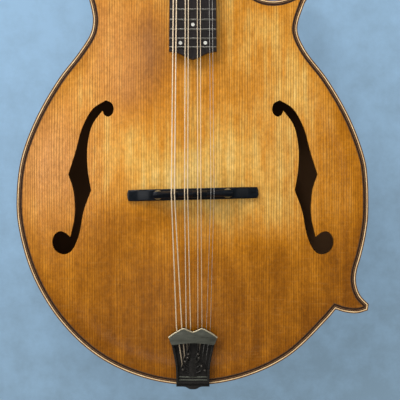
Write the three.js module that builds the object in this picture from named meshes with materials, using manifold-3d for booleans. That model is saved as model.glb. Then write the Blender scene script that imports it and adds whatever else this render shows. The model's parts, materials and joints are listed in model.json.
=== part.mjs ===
// Octave mandolin with a carved top and back, a scroll, two body points and eight strings in four courses.
// Millimetres and radians. X runs to the treble side, Y from the tail to the headstock, Z out of the top.
// While the pieces are made, y is 0 at the tail of the rim and z is 0 where the rim meets the top.

import * as THREE from "three";
import { mergeVertices } from "three/addons/utils/BufferGeometryUtils.js";
import Module from "manifold-3d";

const wasm = await Module();
wasm.setup();
const { degToRad, lerp, clamp, smoothstep } = THREE.MathUtils;

// Driving sizes of the instrument
const scaleLength = 559;
const fretCount = 24;
const jointFret = 15;
const lowerBout = 340;
const bridgeFromTail = 184;
const rimDepth = 50;
const neckTilt = degToRad(4.5);
const headTilt = degToRad(11);

// Fits
const seam = 0.3; // left open at every glued or seated joint
const runningGap = 0.35; // round a piece that turns or slides
const overrun = 2; // how far a cut runs past what it cuts

// Plates, ribs, binding and linings
const edgeThickness = 5;
const topArch = 16;
const backArch = 15;
const innerArchShare = 0.97;
const edgeFlat = 9;
const ribThickness = 2.4;
const bindingWidth = 5.4;
const liningWidth = 5.5;
const liningDepth = 8;

// Scroll: its radius as a share of the lower bout, and its button and slot as shares of that radius
const scrollShare = 0.122;
const buttonShare = 0.26;
const slotShare = 0.193;

// Fretboard, frets and nut
const nutWidth = 38;
const boardEndWidth = 45.3;
const boardThickness = 5.5;
const boardOverhang = 3.7;
const boardDrop = 7.9;
const fretWidth = 2.3;
const fretHeight = 1.1;
const extensionLift = 7.5;
const shoulderWidth = 4;
const nutLength = 5;
const nutRise = 2.4;

// Strings, from the bass side to the treble side
const courseRadii = [0.58, 0.43, 0.29, 0.17];
const pairGap = 2.9;
const nutSpread = 30.5;
const saddleSpread = 40;
const nutStringHeight = 1.75;
const actionRise = 3.6;

// Small helpers for points, curves and solids
const point = (x, y) => new THREE.Vector2(x, y);
const fretFromNut = (n) => scaleLength * (1 - 2 ** (-n / 12));

function spline(points, steps) {
  const path = new THREE.CatmullRomCurve3(points.map((p) => new THREE.Vector3(p.x, p.y, 0)));
  return path.getSpacedPoints(steps).map((p) => point(p.x, p.y));
}

function solid(geometry) {
  const bare = geometry.clone();
  bare.deleteAttribute("normal");
  bare.deleteAttribute("uv");
  const merged = mergeVertices(bare, 1e-4);
  return new wasm.Manifold(
    new wasm.Mesh({
      numProp: 3,
      vertProperties: merged.attributes.position.array,
      triVerts: new Uint32Array(merged.index.array),
    }),
  );
}

function geometryOf(made) {
  const { numProp, vertProperties, triVerts, numVert } = made.getMesh();
  const position = new Float32Array(numVert * 3);
  for (let i = 0; i < numVert; i++) {
    position.set(vertProperties.subarray(i * numProp, i * numProp + 3), i * 3);
  }
  const geometry = new THREE.BufferGeometry();
  geometry.setAttribute("position", new THREE.BufferAttribute(position, 3));
  geometry.setIndex(new THREE.BufferAttribute(new Uint32Array(triVerts), 1));
  const flat = geometry.toNonIndexed();
  flat.computeVertexNormals();
  return flat;
}

// A flat outline, with holes, standing from z = low to z = high.
function prismGeometry(outline, low, high, holes = []) {
  const shape = new THREE.Shape(outline);
  shape.holes = holes.map((hole) => new THREE.Path(hole));
  const geometry = new THREE.ExtrudeGeometry(shape, { depth: high - low, bevelEnabled: false });
  return geometry.translate(0, 0, low);
}
const prism = (...sizes) => solid(prismGeometry(...sizes));

function boxGeometry(low, high) {
  const size = new THREE.Vector3(...high).sub(new THREE.Vector3(...low));
  const middle = new THREE.Vector3(...low).addScaledVector(size, 1 / 2);
  return new THREE.BoxGeometry(size.x, size.y, size.z).translate(middle.x, middle.y, middle.z);
}
const box = (low, high) => solid(boxGeometry(low, high));

// A round bar along Z. Its flats, or its corners on a hole, touch the radius.
function barGeometry(radius, low, high, sides = 10) {
  const bar = new THREE.CylinderGeometry(radius, radius, high - low, sides);
  return bar.rotateX(Math.PI / 2).translate(0, 0, (low + high) / 2);
}
const bar = (...sizes) => solid(barGeometry(...sizes));
const holeRadius = (radius, sides) => radius / Math.cos(Math.PI / sides);

// A closed sheet over a grid, between two surfaces given as functions of x and y.
function sheet(xs, ys, lowAt, highAt) {
  const vertices = [];
  const index = [];
  for (const surface of [lowAt, highAt]) {
    for (const y of ys) for (const x of xs) vertices.push(x, y, surface(x, y));
  }
  const top = xs.length * ys.length;
  const at = (i, j) => j * xs.length + i;
  for (let j = 0; j + 1 < ys.length; j++) {
    for (let i = 0; i + 1 < xs.length; i++) {
      const [a, b, c, d] = [at(i, j), at(i + 1, j), at(i + 1, j + 1), at(i, j + 1)];
      index.push(a, c, b, a, d, c, top + a, top + b, top + c, top + a, top + c, top + d);
    }
  }
  const rim = [];
  for (let i = 0; i + 1 < xs.length; i++) rim.push(at(i, 0));
  for (let j = 0; j + 1 < ys.length; j++) rim.push(at(xs.length - 1, j));
  for (let i = xs.length - 1; i > 0; i--) rim.push(at(i, ys.length - 1));
  for (let j = ys.length - 1; j > 0; j--) rim.push(at(0, j));
  rim.forEach((a, k) => {
    const b = rim[(k + 1) % rim.length];
    index.push(a, b, top + b, a, top + b, top + a);
  });
  const geometry = new THREE.BufferGeometry();
  geometry.setAttribute("position", new THREE.Float32BufferAttribute(vertices, 3));
  geometry.setIndex(index);
  return solid(geometry);
}

const spread = (from, to, steps) => Array.from({ length: steps + 1 }, (_, i) => lerp(from, to, i / steps));

// A closed skin through rings of points that all have the same count, with flat fans over its two ends.
// The points of a ring turn anticlockwise for an eye that looks from the last ring to the first.
function loft(rings) {
  const count = rings[0].length;
  const vertices = rings.flat().flatMap((p) => [p.x, p.y, p.z]);
  const index = [];
  for (let r = 0; r + 1 < rings.length; r++) {
    for (let k = 0; k < count; k++) {
      const a = r * count + k;
      const b = r * count + ((k + 1) % count);
      index.push(a, b, b + count, a, b + count, a + count);
    }
  }
  const last = (rings.length - 1) * count;
  for (let k = 1; k + 1 < count; k++) {
    index.push(0, k + 1, k, last, last + k, last + k + 1);
  }
  const geometry = new THREE.BufferGeometry();
  geometry.setAttribute("position", new THREE.Float32BufferAttribute(vertices, 3));
  geometry.setIndex(index);
  return geometry;
}

// Frames of the neck and of the headstock
const boardTopZ = edgeThickness + extensionLift + boardThickness;
const nutFromJoint = fretFromNut(jointFret);
const saddleFromJoint = scaleLength - nutFromJoint;
const bodyLength = bridgeFromTail + saddleFromJoint * Math.cos(neckTilt);
const neckFrame = new THREE.Matrix4()
  .makeTranslation(0, bodyLength, boardTopZ)
  .multiply(new THREE.Matrix4().makeRotationX(-neckTilt));
const headFrame = new THREE.Matrix4()
  .makeTranslation(0, nutFromJoint + nutLength, -boardThickness)
  .multiply(new THREE.Matrix4().makeRotationX(-headTilt));
const boardHalf = (fromNut) =>
  lerp(nutWidth, boardEndWidth, fromNut / fretFromNut(fretCount)) / 2;
const neckHalf = (y) => boardHalf(nutFromJoint - y);

// The outline of the body, anticlockwise, as smooth edges that meet in corners.
// A place is a share of half the lower bout, then a share of the body's length.
const halfBout = lowerBout / 2;
const scrollRadius = scrollShare * lowerBout;
const buttonRadius = buttonShare * scrollRadius;
const slotWidth = slotShare * scrollRadius;
const place = ([across, along]) => point(across * halfBout, along * bodyLength);
const mirrored = (p) => point(-p.x, p.y);
const boutShares = [
  [0.284, 0.0173], [0.543, 0.0669], [0.758, 0.15], [0.91, 0.2537], [0.989, 0.3645], [1, 0.4314],
  [0.976, 0.519], [0.894, 0.6113], [0.765, 0.7036], [0.644, 0.7682], [0.58, 0.8108], [0.567, 0.8397],
];
const nickShare = [0.81, 0.1742];
const undersideShares = [nickShare, [0.86, 0.1679], [0.931, 0.1654], [0.9915, 0.1721]];
const trebleShares = [
  [0.9966, 0.1864], [0.951, 0.206], [0.93, 0.2261], [0.924, 0.2445], [0.931, 0.2664], [0.952, 0.2953],
  [0.975, 0.3345], [0.992, 0.3806], [0.995, 0.4268], [0.991, 0.473], [0.976, 0.519], [0.894, 0.6113],
  [0.765, 0.7036], [0.644, 0.7682], [0.5986, 0.8051], [0.5924, 0.8235], [0.6004, 0.842],
  [0.616, 0.8604], [0.643, 0.888], [0.682, 0.9123],
];
const cutawayShares = [
  [0.658, 0.9227], [0.591, 0.9031], [0.523, 0.8904], [0.455, 0.8863], [0.387, 0.8909], [0.324, 0.9054],
  [0.25, 0.9343], [0.193, 0.9666],
];
const scrollSideShares = [[-0.688, 0.9965], [-0.637, 0.9435], [-0.594, 0.895], [-0.572, 0.8592]];
const scrollCentre = place([-0.4832, 1.0634]);
const neckCorner = point(neckHalf(0) + shoulderWidth, bodyLength);

// The scroll's edges turn about its centre: out from the button to the full radius, and in down the throat.
const slotEndAngle = degToRad(110);
const armTurn = degToRad(80); // past a full turn from the slot's end, where the arm joins the side
const [growStart, growEnd] = [degToRad(230), degToRad(450)]; // the arm widens between these
const throatStart = degToRad(200); // the slot widens into the throat from here
const throatCurve = 2.8;
const armRadius = (angle) => lerp(buttonRadius, scrollRadius, smoothstep(angle, growStart, growEnd));
const cornerArm = mirrored(neckCorner).sub(scrollCentre);
const cornerAngle = cornerArm.angle();
const throatRadius = (angle) => {
  const open = clamp((angle - throatStart) / (cornerAngle - throatStart), 0, 1);
  return lerp(buttonRadius + slotWidth, cornerArm.length(), open ** throatCurve);
};
const around = (angle, radius) =>
  point(Math.cos(angle), Math.sin(angle)).multiplyScalar(radius).add(scrollCentre);

function bassEdge() {
  const throat = spread(cornerAngle, slotEndAngle, 10).map((a) => around(a, throatRadius(a)));
  const endMiddle = around(slotEndAngle, buttonRadius + slotWidth / 2);
  const slotEnd = spread(0, Math.PI, 4).slice(1, -1).map((angle) => {
    const turn = slotEndAngle - angle;
    return point(Math.cos(turn), Math.sin(turn)).multiplyScalar(slotWidth / 2).add(endMiddle);
  });
  const arm = spread(slotEndAngle, slotEndAngle + 2 * Math.PI + armTurn, 21);
  const side = [around(slotEndAngle + armTurn, scrollRadius), ...scrollSideShares.map(place)];
  const left = boutShares.map(place).reverse().map(mirrored);
  const right = boutShares.slice(0, 3).map(place);
  const rest = spline([...side, ...left, point(0, 0), ...right, place(nickShare)], 46);
  return [...throat, ...slotEnd, ...arm.map((a) => around(a, armRadius(a))), ...rest.slice(1)];
}

const edges = {
  underside: spline(undersideShares.map(place), 4),
  lowerTip: [place(undersideShares.at(-1)), place(trebleShares[0])],
  treble: spline(trebleShares.map(place), 23),
  upperTip: [place(trebleShares.at(-1)), place(cutawayShares[0])],
  cutaway: spline([...cutawayShares.map(place), neckCorner], 9),
  neckLine: [neckCorner, mirrored(neckCorner)],
  bass: bassEdge(),
};
const outlineEdges = Object.values(edges);

// One edge moved into the wood by a distance, with its ends carried on straight.
function insetEdge(edge, distance) {
  const reach = 4 * distance;
  const first = edge[0].clone().sub(edge[1]).setLength(reach).add(edge[0]);
  const last = edge.at(-1).clone().sub(edge.at(-2)).setLength(reach).add(edge.at(-1));
  const path = [first, ...edge, last];
  const normals = path.slice(1).map((p, i) => {
    const way = p.clone().sub(path[i]).normalize();
    return point(-way.y, way.x);
  });
  return path.map((p, i) => {
    const before = normals[Math.max(i - 1, 0)];
    const after = normals[Math.min(i, normals.length - 1)];
    const mitre = before.clone().add(after).normalize();
    return p.clone().addScaledVector(mitre, distance / mitre.dot(after));
  });
}

function crossing(a, b, c, d) {
  const u = b.clone().sub(a);
  const v = d.clone().sub(c);
  const w = c.clone().sub(a);
  const turn = u.cross(v);
  if (turn === 0) return null;
  const s = w.cross(v) / turn;
  const t = w.cross(u) / turn;
  return s >= 0 && s <= 1 && t >= 0 && t <= 1 ? a.clone().addScaledVector(u, s) : null;
}

// Where the end of one edge meets the start of the next.
function meeting(one, other) {
  for (let i = one.length - 2; i >= 0; i--) {
    for (let j = 0; j + 1 < other.length; j++) {
      const at = crossing(one[i], one[i + 1], other[j], other[j + 1]);
      if (at) return { at, i, j };
    }
  }
  return null;
}

// The closed outline moved into the wood. A tip that is too narrow for the distance drops out.
function inset(distance, from = outlineEdges) {
  if (distance === 0) return from.flatMap((edge) => edge.slice(0, -1));
  const moved = from.map((edge) => insetEdge(edge, distance));
  const bare = from.map((edge, i) => (edge.length > 2 ? moved[i].slice(1, -1) : null));
  const kept = moved.filter((_, i) => {
    const before = bare.at(i - 1);
    const after = bare[(i + 1) % bare.length];
    return bare[i] || !before || !after || !meeting(before, after);
  });
  const joins = kept.map((edge, i) => meeting(edge, kept[(i + 1) % kept.length]));
  return kept.flatMap((edge, i) => {
    const start = joins.at(i - 1);
    return [start.at, ...edge.slice(start.j + 1, joins[i].i + 1)];
  });
}

const fullPlan = inset(0);
const plateTop = Math.max(...fullPlan.map((p) => p.y));
const pointReach = Math.max(...fullPlan.map((p) => Math.abs(p.x)));

// Arching: the height along the middle times the shape across, over a plan that stays off the flat edge.
const archShares = [[0, 0], ...boutShares, [0.52, 0.89], [0.4, 0.95], [0.22, 1.02], [0, 1.06]];
const archPlan = spline(archShares.map(place), 120);
const crownShare = 1.08; // of the bridge's place, where the arch is highest
const crownFromTail = crownShare * bridgeFromTail;
const archCurve = 1.15;
const neckEndArchShare = 0.22;
const buttonHalf = 15; // of the tongue of the back that covers the foot of the heel

function archHalf(y) {
  const next = archPlan.findIndex((p) => p.y >= y);
  if (next <= 0) return 0;
  const [a, b] = [archPlan[next - 1], archPlan[next]];
  return Math.max(lerp(a.x, b.x, (y - a.y) / (b.y - a.y)) - edgeFlat, 0);
}

const wave = (share) => (1 - Math.cos(Math.PI * clamp(share, 0, 1))) / 2;

function archShare(x, y) {
  const half = archHalf(y);
  if (Math.abs(x) >= half) return 0;
  const rising = wave((y - edgeFlat) / (crownFromTail - edgeFlat));
  const falling = lerp(1, neckEndArchShare, wave((y - crownFromTail) / (bodyLength - crownFromTail)));
  return Math.min(rising, falling) * wave(1 - (Math.abs(x) / half) ** archCurve);
}

const topOuter = (x, y) => edgeThickness + topArch * archShare(x, y);
const topInner = (x, y) => seam + topArch * innerArchShare * archShare(x, y);
const backOuter = (x, y) => -rimDepth - edgeThickness - backArch * archShare(x, y);
const backInner = (x, y) => -rimDepth - seam - backArch * innerArchShare * archShare(x, y);

const grid = (across, along) => [
  spread(-pointReach - overrun, pointReach + overrun, across),
  spread(-overrun, plateTop + overrun, along),
];
const aboveTop = topArch + edgeThickness + boardTopZ;
const belowBack = -rimDepth - edgeThickness - backArch - overrun;

// The two f holes. A place is a share of the hole's width from its inner side, then of its length from below.
const fHoleWidthShare = 0.1753; // of the lower bout, as are the next two
const fHoleLengthShare = 0.4353;
const fHoleInnerShare = 0.2235;
const fHoleNotchShare = 0.39; // of the hole's length, where the bridge lies
const fHoleWidth = fHoleWidthShare * lowerBout;
const fHoleLength = fHoleLengthShare * lowerBout;
const fHoleInner = fHoleInnerShare * lowerBout;
const fHoleFromTail = bridgeFromTail - fHoleNotchShare * fHoleLength;
const fHoleRuns = [
  { shares: [[0.126, 1], [0.336, 0.947], [0.51, 0.826], [0.624, 0.663], [0.738, 0.518]], steps: 7 },
  { shares: [[0.738, 0.518], [0.659, 0.422], [0.629, 0.29], [0.65, 0.209], [0.706, 0.113]], steps: 5 },
  {
    shares: [
      [0.706, 0.113], [0.79, 0.14], [0.878, 0.149], [0.96, 0.128], [1, 0.082], [0.963, 0.03],
      [0.86, 0.001], [0.75, 0.003], [0.66, 0.035], [0.563, 0.124], [0.484, 0.28], [0.362, 0.415],
    ],
    steps: 17,
  },
  { shares: [[0.362, 0.415], [0.414, 0.535], [0.423, 0.699], [0.344, 0.84], [0.182, 0.931]], steps: 6 },
  {
    shares: [
      [0.182, 0.931], [0.152, 0.904], [0.091, 0.892], [0.024, 0.908], [0, 0.94], [0.03, 0.979], [0.126, 1],
    ],
    steps: 8,
  },
];
const fHolePlan = fHoleRuns.flatMap(({ shares, steps }) =>
  spline(
    shares.map(([u, v]) => point(fHoleInner + u * fHoleWidth, fHoleFromTail + v * fHoleLength)),
    steps,
  ).slice(0, -1),
);
const fHolePlans = [fHolePlan, fHolePlan.map(mirrored).reverse()];

// The neck's dovetail, and the same shape grown by the seam for what it sits in
const tenonLength = 16;
const tenonHalf = 8;
const tenonFlare = 3;
const tenonFoot = 9;

function tenon(gap) {
  const [near, far] = [tenonHalf + gap, tenonHalf + tenonFlare + gap];
  const plan = [
    point(near, bodyLength + overrun), point(-near, bodyLength + overrun),
    point(-far, bodyLength - tenonLength - gap), point(far, bodyLength - tenonLength - gap),
  ];
  return prismGeometry(plan, -rimDepth + tenonFoot - gap, boardTopZ - boardThickness - seam + gap);
}
const tenonSocket = solid(tenon(seam));

// Screws that hold the tailpiece to the tail block
const tailScrewRadius = 1.6;
const tailScrewHead = 3.2;
const tailScrewLength = 15;
const tailScrewHeadHeight = 1.6;
const hangerThickness = 2.4;
const hangerDropShare = 0.84; // of the depth of the rim
const hangerHalf = 16;
const hangerDrop = hangerDropShare * rimDepth;
const tailScrewShares = [[-0.56, -0.36], [0.56, -0.36], [0, -0.8]];
const tailScrewPlaces = tailScrewShares.map(([u, v]) => [u * hangerHalf, v * hangerDrop]);
const alongTail = (geometry, x, z) => geometry.rotateX(Math.PI / 2).translate(x, 0, z);
const tailScrewHoles = tailScrewPlaces.map(([x, z]) => {
  const radius = holeRadius(tailScrewRadius + seam, 8);
  const hole = barGeometry(radius, -tailScrewLength - overrun, hangerThickness + overrun, 8);
  return solid(alongTail(hole, x, z));
});
const bySize = (made) => made.decompose().sort((a, b) => b.volume() - a.volume());
const cutAll = (piece, cutters) => cutters.reduce((left, cutter) => left.subtract(cutter), piece);

// Body pieces
function topPlate() {
  const plan = prism(inset(bindingWidth + seam), -overrun, aboveTop, fHolePlans);
  return sheet(...grid(16, 22), topInner, topOuter).intersect(plan).subtract(tenonSocket);
}

function backPlate() {
  const button = new THREE.Shape().absarc(0, bodyLength, buttonHalf, 0, Math.PI).getPoints(5);
  const tongue = prism([...button, point(-buttonHalf, bodyLength - 2 * bindingWidth),
    point(buttonHalf, bodyLength - 2 * bindingWidth)], belowBack, 0);
  const plan = prism(inset(bindingWidth + seam), belowBack, 0).add(tongue);
  return sheet(...grid(12, 20), backOuter, backInner).intersect(plan);
}

// Where an edge piece of this width makes room for the heel of the neck
function neckGap(width, low, high) {
  const half = neckHalf(0) + seam;
  return box([-half, bodyLength - 2 * width, low], [half, bodyLength + overrun, high]);
}

function binding(low, high) {
  const ring = prism(fullPlan, low, high, [inset(bindingWidth).reverse()]);
  return ring.subtract(neckGap(bindingWidth, low - overrun, high + overrun));
}

// The rim is one ring of bent wood, sawn where its four ribs meet.
function ribs() {
  const ring = prism(fullPlan, -rimDepth, 0, [inset(ribThickness).reverse()]);
  const [deep, high] = [-rimDepth - overrun, overrun];
  const kerf = (from, to) => {
    const length = from.distanceTo(to) + overrun;
    const cut = boxGeometry([-overrun, -seam / 2, deep], [length, seam / 2, high]);
    cut.rotateZ(to.clone().sub(from).angle()).translate(from.x, from.y, 0);
    return solid(cut);
  };
  const inward = 4 * ribThickness;
  const tipInside = (corner, share) => corner.clone().lerp(point(0, bridgeFromTail), share / corner.length());
  const cuts = [
    neckGap(ribThickness, deep, high),
    kerf(point(0, 0), point(0, inward)),
    kerf(edges.treble[0], tipInside(edges.treble[0], inward)),
    kerf(edges.cutaway[0], edges.cutaway[0].clone().lerp(edges.treble.at(-5), 1 / 2)),
    ...tailScrewHoles,
  ];
  const pieces = bySize(cutAll(ring, cuts)).slice(0, 4);
  const nearest = (target) => {
    const away = (piece) => {
      const { min, max } = piece.boundingBox();
      return target.distanceTo(point(clamp(target.x, min[0], max[0]), clamp(target.y, min[1], max[1])));
    };
    return pieces.toSorted((a, b) => away(a) - away(b))[0];
  };
  const middle = (edge) => edge[Math.floor(edge.length / 2)];
  return {
    rib_bass: nearest(point(-halfBout, bridgeFromTail)),
    rib_treble_lower: nearest(edges.underside[1].clone().lerp(point(halfBout / 2, 0), 1 / 2)),
    rib_treble_waist: nearest(middle(edges.treble)),
    rib_cutaway: nearest(middle(edges.cutaway)),
  };
}

// What lies inside the ribs: the head block takes the whole scroll, and the linings stop at it.
const insideRibs = ribThickness + seam;
const headBlockShares = [
  [-0.9, 0.895], [-0.42, 0.895], [-0.24, 0.925], [0.24, 0.925], [0.4, 0.905], [0.4, 1.5], [-0.9, 1.5],
];
const headBlockPlan = headBlockShares.map(place);
const liningRing = (gap) => {
  const outer = inset(insideRibs - gap);
  const start = edges.bass.findIndex((p) => p.y < scrollCentre.y - scrollRadius && p.x < scrollCentre.x);
  const { underside, lowerTip, treble, upperTip, cutaway, bass } = edges;
  const acrossScroll = [cutaway.at(-1), bass[start]];
  const closed = [underside, lowerTip, treble, upperTip, cutaway, acrossScroll, bass.slice(start)];
  return { outer, inner: inset(insideRibs + liningWidth + gap, closed) };
};

function liningSolid(low, high, gap = 0) {
  const { outer, inner } = liningRing(gap);
  return prism(outer, low, high).subtract(prism(inner, low - overrun, high + overrun));
}

function lining(low, high) {
  const behind = prism(headBlockPlan, low - overrun, high + overrun).translate([0, -seam, 0]);
  return bySize(liningSolid(low, high).subtract(behind))[0];
}

const topLiningZ = [-liningDepth, 0];
const backLiningZ = [-rimDepth, -rimDepth + liningDepth];
const insidePlan = inset(insideRibs);

const block = (plan) => prism(insidePlan, -rimDepth, 0).intersect(prism(plan, -rimDepth - overrun, overrun));

const liningRoom = [
  liningSolid(-liningDepth - seam, overrun, seam),
  liningSolid(-rimDepth - overrun, -rimDepth + liningDepth + seam, seam),
];

const notchedBlock = (plan) => bySize(cutAll(block(plan), liningRoom))[0];

const headBlock = () => block(headBlockPlan).subtract(tenonSocket);
const tailBlockHalf = 42;
const tailBlockLength = 20;
const tailBlockShares = [[-1, -1], [1, -1], [0.8, 1], [-0.8, 1]];
const tailBlockPlan = tailBlockShares.map(([u, v]) => point(u * tailBlockHalf, v * tailBlockLength));
const tailBlock = () => cutAll(notchedBlock(tailBlockPlan), tailScrewHoles);
const lowerPointShares = [[0.745, 0.13], [1.1, 0.1], [1.1, 0.27], [0.905, 0.262], [0.79, 0.222]];
const upperPointShares = [[0.5, 0.84], [0.72, 0.84], [0.72, 0.98], [0.58, 0.98], [0.47, 0.89]];

// Tone bars, fitted to the underside of the top
const barWidth = 8;
const barHeight = 13;
const barShares = [0.28, 0.72];
const barInnerX = 20;
const barSlant = 0.07;

function toneBar(side) {
  const [from, to] = barShares.map((share) => share * bodyLength);
  const steps = spread(0, 1, 12);
  const centre = (t) => side * (barInnerX + barSlant * (to - from) * (side > 0 ? t : 1 - t));
  const underside = (x, y) => topInner(x, y) - seam;
  const rings = steps.map((t) => {
    const y = lerp(from, to, t);
    const x = centre(t);
    const deep = barHeight * Math.sin(Math.PI * clamp(t, 0.07, 0.93)) ** 0.7;
    const [left, right] = [x - barWidth / 2, x + barWidth / 2];
    const upper = Math.min(underside(left, y), underside(right, y)) - seam;
    const corner = (at, z) => new THREE.Vector3(at, y, z);
    const lower = upper - deep;
    return [corner(left, lower), corner(left, upper), corner(right, upper), corner(right, lower)];
  });
  return solid(loft(rings));
}

// Neck, in its own frame: y from the body joint, z from the playing face of the fretboard.
// A ring is a rounded section under the flat that the fretboard is glued to.
const neckTop = -boardThickness - seam;
const neckDepth = 18;
const heelLength = 60;
const heelDepth = 86;
// Place along the shaft or heel, depth under its flat, and how square the section is
const shaftShares = [[1, 0.78, 2.6], [0.97, 0.81, 2.3], [0.8, 0.83, 2.2], [0.5, 0.92, 2.2], [0.26, 1, 2.2]];
const heelShares = [
  [1, 0.235, 2.2], [0.77, 0.29, 2.3], [0.57, 0.38, 2.4], [0.4, 0.52, 2.5],
  [0.25, 0.7, 2.7], [0.12, 0.86, 2.8], [-0.16, 1, 2.8],
];

function neckRing(y, depth, round) {
  const half = neckHalf(y) - seam / 2;
  return spread(0, Math.PI, 10).map((t) => {
    const across = Math.sign(Math.cos(t)) * Math.abs(Math.cos(t)) ** (2 / round);
    return new THREE.Vector3(half * across, y, neckTop - depth * Math.abs(Math.sin(t)) ** (2 / round));
  });
}

// Headstock, in its own frame: y from the back of the nut, z from the face of its veneer
const headLength = 152;
const headHalf = 40;
const headThickness = 16.5;
const veneerThickness = 2.2;
const facePlaceShare = 0.8;
const veneerSetback = 1; // clears the end of the neck shaft, which the headstock tilts away from
const headShares = [
  [0.475, 0], [0.5, 0.035], [0.66, 0.075], [0.8, 0.12], [0.79, 0.2], [0.745, 0.32], [0.75, 0.5],
  [0.79, 0.66], [0.88, 0.78], [0.98, 0.855], [0.99, 0.9], [0.9, 0.945], [0.72, 0.952], [0.52, 0.94],
  [0.34, 0.95], [0.16, 0.985], [0, 1],
];
const headRight = spline(headShares.map(([u, v]) => point(u * headHalf, v * headLength)), 26);
const headPlan = [...headRight, ...headRight.slice(0, -1).reverse().map(mirrored)];

// Tuning machines: posts in two rows, a gear under each, and a worm beside the gear with its knob outside
const postRow = 19.5;
const firstPost = 26;
const postPitch = 23.5;
const postRadius = 2.9;
const postTop = 10;
const tunerPlateThickness = 1.5;
const tunerPlateWidth = 17.2;
const tunerPlateEnd = 12;
const gearTeeth = 14;
const gearRadius = 5.4;
const gearRoot = 4.3;
const gearThickness = 2.8;
const wormRadius = 2.6;
const wormLength = 9;
const shaftRadius = 1.5;
const shaftEnd = 3; // of the shaft, past the inner end of the worm
const knobSink = 1; // of the shaft into its knob
const earThickness = 1.6;
const earGap = 0.5; // between an ear and the end of the worm
const earHalf = 2.6;
const earDrop = 3.2; // below the axis of the worm
const wormOffset = gearRadius + wormRadius + runningGap;
const knobStart = 35;
const knobLength = 13;
const knobHalf = 7;
const knobThickness = 4.5;
const knobShares = [[0, 0.42], [0.2, 0.62], [0.45, 0.9], [0.7, 1], [0.9, 0.92], [1, 0.7]];
const plateTopZ = -headThickness - seam;
const plateLowZ = plateTopZ - tunerPlateThickness;
const wormZ = plateLowZ - runningGap - wormRadius;
const gearTopZ = wormZ + gearThickness / 2;
const tuners = [-1, 1].flatMap((side) =>
  [0, 1, 2, 3].map((step) => ({ side, x: side * postRow, y: firstPost + step * postPitch })),
);
const postHole = ({ x, y }, low, high) =>
  bar(holeRadius(postRadius + runningGap, 8), low, high, 8).translate([x, y, 0]);
const postHoles = (low, high) => tuners.map((tuner) => postHole(tuner, low, high));

// Truss rod in a channel under the fretboard, with its nut in a pocket of the headstock
const rodRadius = 2.6;
const rodDepth = 7;
const rodShares = [0.08, 1];
const rodNutRadius = 3.2;
const rodNutLength = 8;
const pocketHalf = 4.6;
const pocketLength = 27;
const pocketDepth = 12;
const coverThickness = 1.4;
const rodZ = neckTop - rodDepth;
const rodEnd = nutFromJoint + nutLength + 3;
const alongY = (geometry, z) => geometry.rotateX(Math.PI / 2).translate(0, 0, z);
const rodPocket = box([-pocketHalf, -nutLength, -pocketDepth], [pocketHalf, pocketLength, overrun]);

const inFrame = (piece, frame) => piece.transform(frame.elements);
const headWorld = neckFrame.clone().multiply(headFrame);

function neck() {
  const shaftLength = nutFromJoint + nutLength;
  const shaft = shaftShares.map(([at, deep, round]) => neckRing(at * shaftLength, deep * neckDepth, round));
  const heel = heelShares.map(([at, deep, round]) => neckRing(at * heelLength, deep * heelDepth, round));
  const head = prism(headPlan, -headThickness, -veneerThickness - seam);
  const channelLow = rodZ - rodRadius - seam;
  const channelHalf = rodRadius + seam;
  const channel = box(
    [-channelHalf, rodShares[0] * nutFromJoint, channelLow],
    [channelHalf, nutFromJoint + nutLength + overrun, neckTop + overrun],
  );
  const headWood = cutAll(head, [...postHoles(-headThickness - overrun, overrun), rodPocket]);
  const wood = solid(loft([...shaft, ...heel].reverse()))
    .add(inFrame(headWood, headFrame))
    .subtract(channel);
  const inBody = box([-halfBout, 0, -heelDepth], [halfBout, bodyLength - ribThickness, aboveTop]);
  const belowRim = box([-halfBout, 0, -heelDepth], [halfBout, bodyLength + heelLength, -rimDepth]);
  return inFrame(wood, neckFrame).subtract(inBody).subtract(belowRim).add(solid(tenon(0)));
}

function headVeneer() {
  const face = prism(headPlan, -veneerThickness, 0);
  const low = -overrun - veneerThickness;
  const opening = box([-pocketHalf, -overrun, low], [pocketHalf, pocketLength, overrun]);
  const squareEnd = box([-headHalf, -overrun, low], [headHalf, veneerSetback, overrun]);
  return cutAll(face, [...postHoles(low, overrun), opening, squareEnd]);
}

const coverShares = [[1, 0.03], [1.1, 0.3], [0.8, 0.6], [0.45, 0.85], [0, 1]];
const coverHalf = 7.5;
const coverLength = 34;
function rodCover() {
  const right = spline(coverShares.map(([u, v]) => point(u * coverHalf, v * coverLength)), 9);
  return prism([...right, ...right.slice(0, -1).reverse().map(mirrored)], seam, seam + coverThickness);
}

const trussRod = () =>
  solid(alongY(barGeometry(rodRadius, -rodEnd, -rodShares[0] * nutFromJoint - seam, 8), rodZ));
function trussRodNut() {
  return solid(alongY(barGeometry(rodNutRadius, -rodEnd - seam - rodNutLength, -rodEnd - seam, 6), rodZ));
}

// Fretboard with its frets, and the support under its end that stands clear of the top
const boardEnd = nutFromJoint - fretFromNut(fretCount) - boardOverhang;
const fretShares = [[-0.5, -1], [0.5, -1], [0.5, 0.35], [0.25, 1], [-0.25, 1], [-0.5, 0.35]];
const boardPointShares = [[1, 0], [0.85, 0.05], [0.665, 0.16], [0.5, 0.36], [0.34, 0.58], [0.13, 0.86], [0, 1]];
const supportEndShare = 0.72;
const supportHalfShare = 0.62;

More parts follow.
